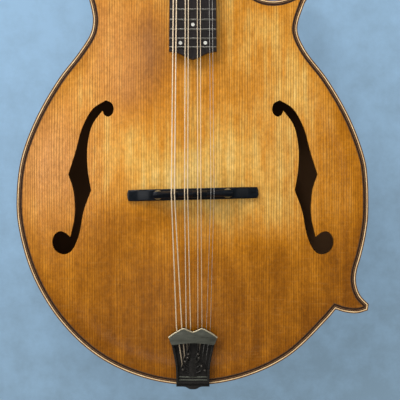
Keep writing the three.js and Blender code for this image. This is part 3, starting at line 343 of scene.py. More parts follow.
def shifted(shape, x=0.0, y=0.0, z=0.0):
    """A shape moved along the axes."""
    return shape[0] + np.array([x, y, z]), shape[1]


def linked(name, data):
    """An object that holds some data, in the scene."""
    obj = bpy.data.objects.new(name, data)
    bpy.context.scene.collection.objects.link(obj)
    return obj


def turned_out(mesh, weld):
    """Merges the points of a mesh that lie closer than the weld, and turns its faces out."""
    made = bmesh.new()
    made.from_mesh(mesh)
    bmesh.ops.remove_doubles(made, verts=made.verts, dist=weld)
    bmesh.ops.recalc_face_normals(made, faces=made.faces)
    made.to_mesh(mesh)
    made.free()


def bare_object(name, shape):
    """An object that holds a shape in millimetres, for a modifier to work on."""
    mesh = bpy.data.meshes.new(name)
    mesh.from_pydata(np.asarray(shape[0]).tolist(), [], shape[1])
    turned_out(mesh, WORK_WELD)
    return linked(name, mesh)


def evaluated(obj):
    """What an object's modifiers make of it, as a shape. The object goes with its mesh."""
    graph = bpy.context.evaluated_depsgraph_get()
    mesh = bpy.data.meshes.new_from_object(obj.evaluated_get(graph))
    points = np.zeros(len(mesh.vertices) * 3)
    mesh.vertices.foreach_get("co", points)
    faces = [list(p.vertices) for p in mesh.polygons]
    for used in (obj.data, mesh):
        bpy.data.meshes.remove(used)
    return points.reshape(-1, 3), faces


def carved(shape, cutters, operation="DIFFERENCE"):
    """A shape less others, or what it shares with them or has together with them."""
    base = bare_object("work", shape)
    tools = [bare_object("tool", cutter) for cutter in cutters]
    for tool in tools:
        step = base.modifiers.new("cut", "BOOLEAN")
        step.solver = "MANIFOLD"
        step.operation = operation
        step.object = tool
    left = evaluated(base)
    for tool in tools:
        bpy.data.meshes.remove(tool.data)
    return left


def bevelled(shape, width, segments=2, angle=40):
    """A shape with its corners rounded where two faces meet at more than the angle."""
    base = bare_object("work", shape)
    step = base.modifiers.new("round", "BEVEL")
    step.width = width
    step.segments = segments
    step.limit_method = "ANGLE"
    step.angle_limit = math.radians(angle)
    step.use_clamp_overlap = True
    return evaluated(base)


def piece(name, shape, finish, body="root", stands_for="", matrix=None, crease=38, marks=None):
    """A finished piece in the part's own frame, in metres, smooth between creases.
    marks are numbers that its material reads at each point.
    """
    points, faces = shape
    points = np.asarray(points, float)
    if matrix is not None:
        points = moved(points, matrix)
    mesh = bpy.data.meshes.new(name)
    mesh.from_pydata(((points + ORIGIN) * MM).tolist(), [], faces)
    for key, values in (marks or {}).items():
        layer = mesh.attributes.new(key, "FLOAT", "POINT")
        layer.data.foreach_set("value", np.asarray(values, np.float32))
    turned_out(mesh, WELD * MM)
    mesh.polygons.foreach_set("use_smooth", np.ones(len(mesh.polygons), bool))
    mesh.set_sharp_from_angle(angle=math.radians(crease))
    mesh.materials.append(FINISHES[finish])
    obj = linked(name, mesh)
    if body:
        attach(obj, body)
    if stands_for:
        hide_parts(stands_for)
        slot_of(stands_for)
    return obj


def slot_of(node):
    """The record's material slot of a CAD node."""
    return {part["node"]: part["material_slot"] for part in frame["record"]["subparts"]}[node]


def dress(node, finish):
    """A CAD node that keeps its own shape gets a finish."""
    obj = frame["nodes"][node]
    obj.data.materials.clear()
    obj.data.materials.append(FINISHES[finish])


# ---- outline of the body


def place(shares):
    """Shares of half the lower bout and of the body's length, as millimetres."""
    return np.asarray(shares, float) * [HALF_BOUT, BODY_LENGTH]


BOUT_SHARES = [
    (0.284, 0.0173), (0.543, 0.0669), (0.758, 0.15), (0.91, 0.2537), (0.989, 0.3645), (1, 0.4314),
    (0.976, 0.519), (0.894, 0.6113), (0.765, 0.7036), (0.644, 0.7682), (0.58, 0.8108), (0.567, 0.8397),
]
NICK_SHARE = (0.81, 0.1742)
UNDERSIDE_SHARES = [NICK_SHARE, (0.86, 0.1679), (0.931, 0.1654), (0.9915, 0.1721)]
TREBLE_SHARES = [
    (0.9966, 0.1864), (0.951, 0.206), (0.93, 0.2261), (0.924, 0.2445), (0.931, 0.2664), (0.952, 0.2953),
    (0.975, 0.3345), (0.992, 0.3806), (0.995, 0.4268), (0.991, 0.473), *BOUT_SHARES[6:10], (0.5986, 0.8051),
    (0.5924, 0.8235), (0.6004, 0.842), (0.616, 0.8604), (0.643, 0.888), (0.682, 0.9123),
]
CUTAWAY_SHARES = [
    (0.658, 0.9227), (0.591, 0.9031), (0.523, 0.8904), (0.455, 0.8863), (0.387, 0.8909), (0.324, 0.9054),
    (0.25, 0.9343), (0.193, 0.9666),
]
SCROLL_SIDE_SHARES = [(-0.688, 0.9965), (-0.637, 0.9435), (-0.594, 0.895), (-0.572, 0.8592)]
SCROLL_CENTRE = place((-0.4832, 1.0634))
SCROLL_RADIUS = 0.122 * LOWER_BOUT
BUTTON_RADIUS = 0.26 * SCROLL_RADIUS
SLOT_WIDTH = 0.193 * SCROLL_RADIUS
SLOT_END = math.radians(110)
ARM_TURN = math.radians(80)
GROW = (math.radians(230), math.radians(450))
THROAT_START = math.radians(200)
THROAT_CURVE = 2.8


def board_half(from_nut):
    """Half the fretboard's width: it grows evenly from the nut to the last fret."""
    return mix(NUT_WIDTH, BOARD_END_WIDTH, np.asarray(from_nut) / fret_from_nut(FRET_COUNT)) / 2


def neck_half(y):
    """Half the fretboard's width at a place y along the neck from the joint."""
    return board_half(NUT_FROM_JOINT - np.asarray(y, float))


NECK_CORNER = np.array([float(neck_half(0)) + SHOULDER_WIDTH, BODY_LENGTH])


def around(angle, radius):
    """Points about the scroll's centre."""
    return SCROLL_CENTRE + circle(angle, radius)


def bass_edge():
    """The throat, the end of the slot, the arm that widens as it turns, and a smooth line down the bass side to the
    nick.
    """
    arm = mirrored(NECK_CORNER) - SCROLL_CENTRE
    corner_angle, corner_reach = math.atan2(arm[1], arm[0]) % TAU, math.hypot(*arm)
    angle = np.linspace(corner_angle, SLOT_END, 60)
    opening = np.clip((angle - THROAT_START) / (corner_angle - THROAT_START), 0, 1) ** THROAT_CURVE
    throat = around(angle, mix(BUTTON_RADIUS + SLOT_WIDTH, corner_reach, opening))
    turn = SLOT_END - np.linspace(0, math.pi, 15)[1:-1]
    middle = around(np.array(SLOT_END), BUTTON_RADIUS + SLOT_WIDTH / 2)
    slot = middle + circle(turn, SLOT_WIDTH / 2)
    angle = np.linspace(SLOT_END, SLOT_END + TAU + ARM_TURN, 150)
    button = around(angle, mix(BUTTON_RADIUS, SCROLL_RADIUS, ease(angle, *GROW)))
    bouts = place(BOUT_SHARES)
    line = [around(np.array(SLOT_END + ARM_TURN), SCROLL_RADIUS), *place(SCROLL_SIDE_SHARES), *mirrored(bouts)[::-1]]
    rest = spline([*line, (0, 0), *bouts[:3], place(NICK_SHARE)], 260)
    return np.vstack([throat, slot, button, rest[1:]])


EDGES = {
    "underside": spline(place(UNDERSIDE_SHARES), 16),
    "lower_tip": np.array([place(UNDERSIDE_SHARES[-1]), place(TREBLE_SHARES[0])]),
    "treble": spline(place(TREBLE_SHARES), 130),
    "upper_tip": np.array([place(TREBLE_SHARES[-1]), place(CUTAWAY_SHARES[0])]),
    "cutaway": spline([*place(CUTAWAY_SHARES), NECK_CORNER], 60),
    "neck_line": np.array([NECK_CORNER, mirrored(NECK_CORNER)]),
    "bass": bass_edge(),
}


def inset_edge(edge, distance):
    """An edge moved into the wood along the mean of its spans' normals, its ends carried on straight."""
    reach = 4 * distance
    first, last = (a + (a - b) / np.linalg.norm(a - b) * reach for a, b in (edge[:2], edge[:-3:-1]))
    path = np.vstack([first, edge, last])
    way = np.diff(path, axis=0)
    normal = np.stack([-way[:, 1], way[:, 0]], -1) / np.linalg.norm(way, axis=1)[:, None]
    before, after = np.vstack([normal[:1], normal]), np.vstack([normal, normal[-1:]])
    mitre = before + after
    mitre /= np.linalg.norm(mitre, axis=1)[:, None]
    return path + mitre * distance / np.sum(mitre * after, axis=1)[:, None]


def meeting(one, other):
    """Where the end of one line crosses the start of another, from the two shares that solve each pair of spans."""
    u, v = np.diff(one, axis=0)[:, None], np.diff(other, axis=0)[None]
    w = other[None, :-1] - one[:-1, None]
    turn = cross(u, v)
    turn = np.where(turn == 0, np.inf, turn)
    s, t = cross(w, v) / turn, cross(w, u) / turn
    hits = np.argwhere((s >= 0) & (s <= 1) & (t >= 0) & (t <= 1))
    if not len(hits):
        return None
    i = hits[:, 0].max()
    j = hits[hits[:, 0] == i, 1].min()
    return one[i] + u[i, 0] * s[i, j], i, j


def inset_edges(distance):
    """The named edges moved into the wood, each from its meeting with the one before to that with the next.
    A tip too narrow for the distance drops out.
    """
    if distance == 0:
        return dict(EDGES)
    names = list(EDGES)
    shifted_edges = {name: inset_edge(EDGES[name], distance) for name in names}

    def drops(k):
        """Whether the edges beside a tip meet before they reach it."""
        before, after = names[k - 1], names[(k + 1) % len(names)]
        is_tip = len(EDGES[names[k]]) == 2 and len(EDGES[before]) > 2 and len(EDGES[after]) > 2
        return is_tip and meeting(shifted_edges[before][1:-1], shifted_edges[after][1:-1]) is not None

    kept = [name for k, name in enumerate(names) if not drops(k)]
    joins = [meeting(shifted_edges[a], shifted_edges[b]) for a, b in zip(kept, kept[1:] + kept[:1])]
    made = {}
    for k, name in enumerate(kept):
        (start, _, first), (end, last, _) = joins[k - 1], joins[k]
        made[name] = np.vstack([start, shifted_edges[name][first + 1 : last + 1], end])
    return made


def inset(distance):
    """The closed outline moved into the wood."""
    return np.vstack([edge[:-1] for edge in inset_edges(distance).values()])


PLAN = inset(0)


def rim_distance(points):
    """The distance of each point from the outline, the least over its spans of how far the nearest place on the span
    lies.
    """
    start = PLAN
    span = np.roll(PLAN, -1, axis=0) - PLAN
    length = np.sum(span * span, axis=1)
    found = []
    for part in np.array_split(np.asarray(points, float)[:, :2], max(len(points) // 2000, 1)):
        away = part[:, None] - start
        share = np.clip(np.sum(away * span, axis=2) / length, 0, 1)
        found.append(np.linalg.norm(away - share[..., None] * span, axis=2).min(axis=1))
    return np.concatenate(found)


# ---- arching

ARCH_PLAN = spline(place([(0, 0), *BOUT_SHARES, (0.52, 0.89), (0.4, 0.95), (0.22, 1.02), (0, 1.06)]), 240)
CROWN_FROM_TAIL = 1.08 * BRIDGE_FROM_TAIL
ARCH_CURVE = 1.15
NECK_END_ARCH_SHARE = 0.22


def arch_share(x, y):
    """The height along the middle times the shape across, each a half wave, the second bent by a power."""
    half = np.maximum(np.interp(y, ARCH_PLAN[:, 1], ARCH_PLAN[:, 0], left=0, right=0) - EDGE_FLAT, 1e-6)
    rising = wave((y - EDGE_FLAT) / (CROWN_FROM_TAIL - EDGE_FLAT))
    falling = mix(1, NECK_END_ARCH_SHARE, wave((y - CROWN_FROM_TAIL) / (BODY_LENGTH - CROWN_FROM_TAIL)))
    return np.minimum(rising, falling) * wave(1 - (np.abs(x) / half) ** ARCH_CURVE)


RECURVE_DEPTH = 0.9
RECURVE_PLACE = 15
RECURVE_SPREAD = 8
RECURVE_ENDS = (0.86 * BODY_LENGTH, 0.78 * BODY_LENGTH)
SCROLL_CROWN = 1.6
SCROLL_CROWN_REACH = 12
CROWN_STARTS = (0.9 * BODY_LENGTH, BODY_LENGTH)


def carving(x, y):
    """What the carver adds to the arch: a shallow dip round the edge, a bell curve of the distance from the rim, and
    a low crown along the scroll, half a wave of that distance.
    """
    away = rim_distance(np.column_stack([x, y]))
    dip = RECURVE_DEPTH * np.exp(-(((away - RECURVE_PLACE) / RECURVE_SPREAD) ** 2))
    body = ease(y, *RECURVE_ENDS)
    on_scroll = ease(y, *CROWN_STARTS) * (x < -NECK_CORNER[0])
    return SCROLL_CROWN * wave((away - BINDING_WIDTH) / SCROLL_CROWN_REACH) * on_scroll - dip * body


def top_height(x, y):
    """The edge of the plate plus its arch times the share of it."""
    return EDGE_THICKNESS + TOP_ARCH * arch_share(x, y)


def plate(step, outer, inner):
    """A closed sheet between two heights worked out over a square grid."""
    reach = np.abs(PLAN[:, 0]).max() + step
    xs = np.arange(-reach, reach + step, step)
    ys = np.arange(-step, PLAN[:, 1].max() + 2 * step, step)
    x, y = (v.ravel() for v in np.meshgrid(xs, ys))
    upper, lower = outer(x, y), inner(x, y)
    count = len(x)
    cells = np.array(quads(len(ys), len(xs)))
    points = np.vstack([np.column_stack([x, y, upper]), np.column_stack([x, y, lower])])
    grid = np.arange(count).reshape(len(ys), len(xs))
    rim = np.concatenate([grid[0, :-1], grid[:-1, -1], grid[-1, :0:-1], grid[:0:-1, 0]])
    walls = np.stack([rim, np.roll(rim, -1), np.roll(rim, -1) + count, rim + count], -1)
    return points, np.vstack([cells, cells[:, ::-1] + count, walls]).tolist()


# The f holes, as shares of a hole's width from its inner side and of its length from below
F_WIDTH = 0.1753 * LOWER_BOUT
F_LENGTH = 0.4353 * LOWER_BOUT
F_INNER = 0.2235 * LOWER_BOUT
F_FROM_TAIL = BRIDGE_FROM_TAIL - 0.39 * F_LENGTH
F_SIZE, F_START = np.array([F_WIDTH, F_LENGTH]), np.array([F_INNER, F_FROM_TAIL])
F_RUNS = [
    ([(0.126, 1), (0.336, 0.947), (0.51, 0.826), (0.624, 0.663), (0.738, 0.518)], 30),
    ([(0.738, 0.518), (0.659, 0.422), (0.629, 0.29), (0.65, 0.209), (0.706, 0.113)], 24),
    ([
        (0.706, 0.113), (0.79, 0.14), (0.878, 0.149), (0.96, 0.128), (1, 0.082), (0.963, 0.03),
        (0.86, 0.001), (0.75, 0.003), (0.66, 0.035), (0.563, 0.124), (0.484, 0.28), (0.362, 0.415),
    ], 70),
    ([(0.362, 0.415), (0.414, 0.535), (0.423, 0.699), (0.344, 0.84), (0.182, 0.931)], 24),
    ([
        (0.182, 0.931), (0.152, 0.904), (0.091, 0.892), (0.024, 0.908), (0, 0.94), (0.03, 0.979), (0.126, 1),
    ], 30),
]
F_PLAN = np.vstack([spline(np.array(shares) * F_SIZE + F_START, steps)[:-1] for shares, steps in F_RUNS])


# ---- materials

NOISE, RANGE, MATH, MIX = "ShaderNodeTexNoise", "ShaderNodeMapRange", "ShaderNodeMath", "ShaderNodeMix"
ATTRIBUTE, VECTOR_MATH, BUMP = "ShaderNodeAttribute", "ShaderNodeVectorMath", "ShaderNodeBump"
# The settings and the sockets of a Mix node that mixes two colours
BLEND = {"data_type": "RGBA"}
TIMES = {"data_type": "RGBA", "blend_type": "MULTIPLY"}
SHARE, ONE, OTHER, MIXED = 0, 6, 7, 2


def linear(code):
    """The linear colour of an sRGB hex value. A colour from a property is linear already."""
    if not isinstance(code, str):
        return tuple(code)
    parts = np.array([int(code[i : i + 2], 16) for i in (1, 3, 5)]) / 255
    parts = np.where(parts <= 0.04045, parts / 12.92, ((parts + 0.055) / 1.055) ** 2.4)
    return (*map(float, parts), 1.0)


def add(tree, kind, settings=None, values=None, out=0, ramp=()):
    """One node with its settings and the stops of its ramp, and one of its outputs.
    Each value goes to the input of its name: a socket is linked, and a number or a colour is set.
    """
    made = tree.nodes.new(kind)
    for key, value in (settings or {}).items():
        setattr(made, key, value)
    for key, value in (values or {}).items():
        if isinstance(value, bpy.types.NodeSocket):
            tree.links.new(value, made.inputs[key])
        else:
            made.inputs[key].default_value = value
    for k, (at, colour) in enumerate(ramp):
        stops = made.color_ramp.elements
        stop = stops[k] if k < 2 else stops.new(at)
        stop.position = at
        stop.color = colour
    return made.outputs[out] if made.outputs else None


def blank_material(name):
    """A material without nodes, and its tree."""
    made = bpy.data.materials.new(name)
    made.use_nodes = True
    made.node_tree.nodes.clear()
    return made, made.node_tree


def surfaced(tree, values):
    """One Principled shader, with its values on its own sockets, as the material's surface."""
    surface = add(tree, "ShaderNodeBsdfPrincipled", values=values)
    add(tree, "ShaderNodeOutputMaterial", values={"Surface": surface})


def in_steps_of(tree, sizes, folded=False):
    """Object coordinates with each axis counted in its own size in millimetres.
    Folded ones repeat on both sides of the middle, as two matched boards do.
    """
    where = add(tree, "ShaderNodeTexCoord", out="Object")
    if folded:
        where = add(tree, VECTOR_MATH, {"operation": "SUBTRACT"}, {0: where, 1: (ORIGIN[0] * MM, 0, 0)})
        where = add(tree, VECTOR_MATH, {"operation": "ABSOLUTE"}, {0: where})
    counts = tuple(1 / (size * MM) for size in sizes)
    return add(tree, "ShaderNodeMapping", values={"Scale": counts, "Vector": where})


# The varnish from brown to honey, between the two shades that a user sets
VARNISH_SHADES = ("#9c5e04", "#b8740f", "#cd8b2e", "#deaa50")


def spruce_top(look):
    """Spruce, quarter-sawn and bookmatched, under worn amber spirit varnish.
    The eye sees close straight grain, a brown burst low down and round the edge with painted shade of the arch mixed
    in, a painted rosy sheen on the bass side, blotches and a soft sheen.
    """
    made, tree = blank_material("varnished_spruce")
    # On the top the burst mark holds painted light and shade of the arch as well as the varnish's burst
    level = add(tree, ATTRIBUTE, {"attribute_name": "burst"}, out="Fac")
    rose = add(tree, ATTRIBUTE, {"attribute_name": "rose"}, out="Fac")
    # Blotches where the varnish was rubbed thin, and streaks where the wood drank more of it
    blotch = in_steps_of(tree, (22, 38, 40))
    cloud = add(tree, NOISE, values={"Scale": 1.0, "Detail": 5.0, "Roughness": 0.62, "Vector": blotch})
    long_way = in_steps_of(tree, (7, 120, 60), folded=True)
    streak = add(tree, NOISE, values={"Scale": 1.0, "Detail": 4.0, "Roughness": 0.6, "Vector": long_way})
    patchy = add(tree, MATH, {"operation": "MULTIPLY_ADD"}, {0: cloud, 1: 0.6, 2: level})
    patchy = add(tree, MATH, {"operation": "MULTIPLY_ADD"}, {0: streak, 1: 0.7, 2: patchy})
    patchy = add(tree, MATH, {"operation": "SUBTRACT"}, {0: patchy, 1: 0.65})
    shades = [(0.0, look.top_edge), (1.0, look.top_centre), *zip((0.2, 0.4, 0.6, 0.8), VARNISH_SHADES)]
    ramp = [(at, linear(shade)) for at, shade in shades]
    tint = add(tree, "ShaderNodeValToRGB", values={"Fac": patchy}, ramp=ramp)
    # A painted sheen: pale rosy light laid over the bass slope of the arch
    warm = add(tree, MIX, BLEND, {SHARE: rose, ONE: tint, OTHER: linear("#dd9f68")}, MIXED)
    # One dark line a year. Its wave counts in metres, and what bends it is drawn out ten times along the grain
    grain = {
        "Scale": TAU / 20 / look.grain_spacing, "Distortion": 5.0, "Detail": 2.0, "Detail Scale": 0.7,
        "Detail Roughness": 0.55, "Vector": in_steps_of(tree, (1000, 10000, 10000), folded=True),
    }
    bands = {"wave_type": "BANDS", "bands_direction": "X", "wave_profile": "SIN"}
    years = add(tree, "ShaderNodeTexWave", bands, grain, "Fac")
    late = add(tree, MATH, {"operation": "POWER"}, {0: years, 1: 1.8})
    hardness = {"Value": streak, "From Min": 0.35, "From Max": 0.65, "To Min": 0.2, "To Max": 0.58}
    hardness = add(tree, RANGE, values=hardness)
    depth = add(tree, MATH, {"operation": "MULTIPLY"}, {0: late, 1: hardness})
    lined = add(tree, MIX, BLEND, {SHARE: depth, ONE: warm, OTHER: linear("#5a2f04")}, MIXED)
    # Silk, the short bright flecks across the grain of a quarter-sawn board
    across = in_steps_of(tree, (13, 1.6, 9))
    rays = add(tree, NOISE, values={"Scale": 1.0, "Detail": 2.0, "Vector": across})
    silk = {"Value": rays, "From Min": 0.55, "From Max": 0.75, "To Min": 0.0, "To Max": 0.08}
    silk = add(tree, RANGE, values=silk)
    silky = add(tree, MIX, BLEND, {SHARE: silk, ONE: lined, OTHER: linear("#d9a45c")}, MIXED)
    # Fine wear, drawn at 3 to 5 mm so that it shows
    wear = in_steps_of(tree, (3.2, 5, 4))
    speck = add(tree, NOISE, values={"Scale": 1.0, "Detail": 3.0, "Roughness": 0.7, "Vector": wear})
    speck = {"Value": speck, "From Min": 0.3, "From Max": 0.7, "To Min": 0.8, "To Max": 1.2}
    speck = add(tree, RANGE, values=speck)
    surfaced(tree, {
        "IOR": 1.5, "Specular IOR Level": 0.34,
        "Base Color": add(tree, MIX, TIMES, {SHARE: 1.0, ONE: silky, OTHER: speck}, MIXED),
        "Roughness": add(tree, RANGE, values={"Value": cloud, "To Min": 0.2, "To Max": 0.34}),
        "Normal": add(tree, BUMP, values={"Strength": 0.3, "Distance": 0.12 * MM, "Height": late}),
    })
    return made


def flamed_maple(name, edge, middle, curl_mm, burst=False, bare=None):
    """Flamed maple under brown stain and varnish.
    Stripes of curl lie across the grain and change the sheen as well as the shade. A burst darkens it by the
    piece's own attribute, and bare wood shows where its varnish is nought, in a colour that on the back is
    darkened as painted shade inside the body.
    """
    made, tree = blank_material(name)
    values = {"IOR": 1.52, "Coat Weight": 0.35, "Coat Roughness": 0.18}
    over = in_steps_of(tree, (60, curl_mm, 60), folded=True)
    curl = {"Scale": 1.0, "Detail": 2.0, "Roughness": 0.5, "Distortion": 0.6, "Vector": over}
    curl = add(tree, NOISE, values=curl)
    stripes = add(tree, RANGE, values={"Value": curl, "From Min": 0.36, "From Max": 0.64})
    pores = add(tree, NOISE, values={"Scale": 1.0, "Detail": 3.0, "Vector": in_steps_of(tree, (1.2, 22, 1.2))})
    light = linear(middle)
    if burst:
        level = add(tree, ATTRIBUTE, {"attribute_name": "burst"}, out="Fac")
        light = add(tree, "ShaderNodeValToRGB", values={"Fac": level}, ramp=[(0.0, linear(edge)), (1.0, light)])
    dark = add(tree, MIX, BLEND, {SHARE: 0.55, ONE: light, OTHER: linear(edge)}, MIXED)
    striped = add(tree, MIX, BLEND, {SHARE: stripes, ONE: dark, OTHER: light}, MIXED)
    flecks = add(tree, RANGE, values={"Value": pores, "To Min": 0.88, "To Max": 1.06})
    wood = add(tree, MIX, TIMES, {SHARE: 1.0, ONE: striped, OTHER: flecks}, MIXED)
    if bare:
        varnish = add(tree, ATTRIBUTE, {"attribute_name": "varnish"}, out="Fac")
        wood = add(tree, MIX, BLEND, {SHARE: varnish, ONE: linear(bare), OTHER: wood}, MIXED)
        half = add(tree, MATH, {"operation": "MULTIPLY"}, {0: varnish, 1: 0.5})
        values.update({"Specular IOR Level": half, "Coat Weight": half})
    surfaced(tree, {
        **values, "Base Color": wood,
        "Roughness": add(tree, RANGE, values={"Value": stripes, "To Min": 0.26, "To Max": 0.4}),
        "Normal": add(tree, BUMP, values={"Strength": 0.15, "Distance": 0.2 * MM, "Height": pores}),
    })
    return made


def speckled(name, dark, light, grain_mm, values, rough, relief=0.2, relief_mm=0.05, stretch=(1, 1, 1)):
    """A material whose two close shades and whose roughness follow one noise, at the size of its grain."""
    made, tree = blank_material(name)
    grain = in_steps_of(tree, tuple(grain_mm * part for part in stretch))
    noise = add(tree, NOISE, values={"Scale": 1.0, "Detail": 4.0, "Roughness": 0.6, "Vector": grain})
    share = add(tree, RANGE, values={"Value": noise, "From Min": 0.3, "From Max": 0.7})
    surfaced(tree, {
        **values,
        "Base Color": add(tree, MIX, BLEND, {SHARE: share, ONE: linear(dark), OTHER: linear(light)}, MIXED),
        "Roughness": add(tree, RANGE, values={"Value": share, "To Min": rough[0], "To Max": rough[1]}),
        "Normal": add(tree, BUMP, values={"Strength": relief, "Distance": relief_mm * MM, "Height": noise}),
    })
    return made


def wire(name, dark, light, values, coil_mm=0.0):
    """Drawn wire, darker towards the end that is twisted into a loop.
    A wound one has rings across it: two shades by the sine of the way along it. Drawn wire has faint long scratches.
    """
    made, tree = blank_material(name)
    if coil_mm:
        along = add(tree, ATTRIBUTE, {"attribute_name": "along"}, out="Fac")
        turn = add(tree, MATH, {"operation": "MULTIPLY"}, {0: along, 1: TAU / coil_mm})
        ridge = add(tree, MATH, {"operation": "SINE"}, {0: turn})
    else:
        scratches = in_steps_of(tree, (2, 30, 2))
        ridge = add(tree, NOISE, values={"Scale": 1.0, "Detail": 2.0, "Vector": scratches})
    share = add(tree, RANGE, values={"Value": ridge, "From Min": -1.0, "From Max": 1.0})
    clean = add(tree, MIX, BLEND, {SHARE: share, ONE: linear(dark), OTHER: linear(light)}, MIXED)
    end = add(tree, ATTRIBUTE, {"attribute_name": "loop"}, out="Fac")
    relief = {"Strength": 0.4 if coil_mm else 0.02, "Distance": 0.1 * MM, "Height": share}
    surfaced(tree, {
        **values,
        "Base Color": add(tree, MIX, BLEND, {SHARE: end, ONE: clean, OTHER: linear("#2c2a28")}, MIXED),
        "Normal": add(tree, BUMP, values=relief),
    })
    return made


METAL = {"Metallic": 1.0}
# The finishes of two close shades: key, name, two sRGB values or the names of shades that a user sets, the size of
# the grain, what is the same all over, the range of roughness, and the strength, depth and stretch of the relief
CLOSE_SHADES = [
    # Celluloid binding gone cream with age: smooth, with faint streaks
    (
        "ivoroid", "aged_celluloid", "binding_shade", "binding_tint", 9, {"IOR": 1.5, "Coat Weight": 0.2}, (0.3, 0.42),
        0.05, 0.05, (1, 1, 0.15)
    ),
    # Dyed fibre lines: flat black, a little brown where the varnish lies over them
    ("black_line", "dyed_fibre", "#200f04", "#38200d", 3, {"IOR": 1.45, "Specular IOR Level": 0.25}, (0.5, 0.65)),
    # A maple line under the same varnish: a thin tan stripe between the black ones
    ("tan_line", "varnished_maple_line", "#5f3f20", "#7c5731", 5, {"IOR": 1.5}, (0.4, 0.5)),
    # Lacquer built up along the corner: a soft brown line with a little gloss, its brown partly painted shade where
    #     # the rounded edge turns from the light
    ("lacquer_edge", "lacquered_edge", "#4a3018", "#6a4824", 6, {"IOR": 1.5, "Coat Weight": 0.3}, (0.35, 0.5)),
    # Planed spruce and willow inside: pale, dull, with long grain
    ("spruce_inside", "bare_spruce", "#6e4f2c", "#8d6a40", 2.2, {"IOR": 1.5}, (0.75, 0.9), 0.2, 0.05, (1, 30, 1)),
    # Sawn mahogany inside: red-brown and dull, with long pores
    ("mahogany", "bare_mahogany", "#4a2a17", "#6b4028", 1.5, {"IOR": 1.5}, (0.7, 0.85), 0.2, 0.05, (1, 20, 1)),
    # Oiled ebony: nearly black, with short open pores and a cool sheen; its blue tint is a painted reflection of the
    # sky
    (
        "ebony", "oiled_ebony", "ebony_tint", "#0c141d", 0.9, {"IOR": 1.54, "Specular IOR Level": 0.2}, (0.28, 0.42),
        0.3, 0.06, (6, 1, 1)
    ),
    # Ebony worn by fingers: dark brown-black, duller, with its pores along the board
    (
        "board", "worn_ebony_board", "#120f10", "#2b2322", 0.8, {"IOR": 1.54, "Specular IOR Level": 0.4}, (0.42, 0.6),
        0.3, 0.08, (1, 16, 1)
    ),
    # Sprayed black lacquer: a deep even black with a clear coat
    (
        "veneer", "black_headstock_lacquer", "#0d0b0a", "#1b1715", 12,
        {"IOR": 1.52, "Coat Weight": 0.6, "Coat Roughness": 0.08}, (0.25, 0.35), 0.05
    ),
    # Polished bone: cream, faintly mottled, with light sinking into it
    (
        "bone", "polished_bone", "#cfc19c", "#ece2c6", 1.6, {"IOR": 1.54, "Subsurface Weight": 0.05}, (0.3, 0.42), 0.1,
        0.03
    ),
    # Nacre: milky dots with a bright glint
    ("pearl", "nacre_dots", "#b9b8ae", "#e9e9e2", 1.1, {"IOR": 1.6, "Coat Weight": 0.7}, (0.12, 0.3), 0.05),
    # Nickel silver, crowned and polished: smooth grey bars with one soft highlight
    ("fret", "nickel_silver_frets", "#6f6c65", "#918d84", 2.5, METAL, (0.26, 0.32), 0.02, 0.004),
    # Turned brass under old lacquer: dull yellow, browner where the lacquer is gone
    ("brass", "lacquered_brass", "brass_tint", "#cdb784", 2.0, {"Metallic": 0.85}, (0.4, 0.55), 0.15, 0.03),
    # Cast bronze, plated once: a dull grey-green film on the crown
    (
        "bronze", "aged_bronze_casting", "#4a4b42", "#62645a", 5, {"Metallic": 0.6}, (0.42, 0.56), 0.15, 0.05,
        (2.5, 0.6, 1)
    ),
    # The same along the crown's edge, a thin pale gold line: a painted highlight where light catches the bead
    ("bronze_bright", "rubbed_bronze_edge", "#b5a888", "#e3d9bd", 3, {"Metallic": 0.7}, (0.38, 0.5), 0.1, 0.03),
    # The same where strings and fingers touch it: brown-grey with soft highlights
    ("bronze_worn", "handled_bronze", "#3a3733", "#5c564e", 1.6, {"Metallic": 0.6}, (0.3, 0.42), 0.2, 0.05),
    # The same gone nearly black in the hollow, with a slight grain from the mould
    (
        "bronze_dark", "oxidised_bronze", "#191816", "#2d2a26", 1.8, {"Metallic": 0.5, "IOR": 1.5}, (0.36, 0.52), 0.25,
        0.06
    ),
    # Nickel plate: clean grey with sharp highlights, a little clouded by age
    ("nickel", "nickel_plate", "#8f8c84", "#c6c2b8", 6, METAL, (0.16, 0.3), 0.1, 0.02),
    # Oiled mild steel, as drawn: a plain grey rod
    ("rod_steel", "oiled_steel", "#5b5c5e", "#85878a", 3, METAL, (0.35, 0.5)),
    # Moulded pearly celluloid: cloudy cream under a gloss
    ("knob", "pearly_celluloid", "#cbbf9f", "#f0e8d2", 3.2, {"IOR": 1.5, "Coat Weight": 0.5}, (0.18, 0.3), 0.04),
    # Black sheet celluloid, buffed: flat black with a clear reflection
    (
        "cover", "black_celluloid", "#0c0b0a", "#191614", 8, {"IOR": 1.5, "Coat Weight": 0.5, "Coat Roughness": 0.1},
        (0.22, 0.34), 0.03
    ),
    # White sheet celluloid: the pale line round the cover
    ("white_ply", "white_celluloid", "#d9d3c0", "#efeada", 5, {"IOR": 1.5}, (0.3, 0.4), 0.02),
]


def shade_of(look, shade):
    """A shade that a user sets, by its name, or the sRGB value itself."""
    return getattr(look, shade, shade)


# The materials, made once and looked up by a short key
FINISHES = {}


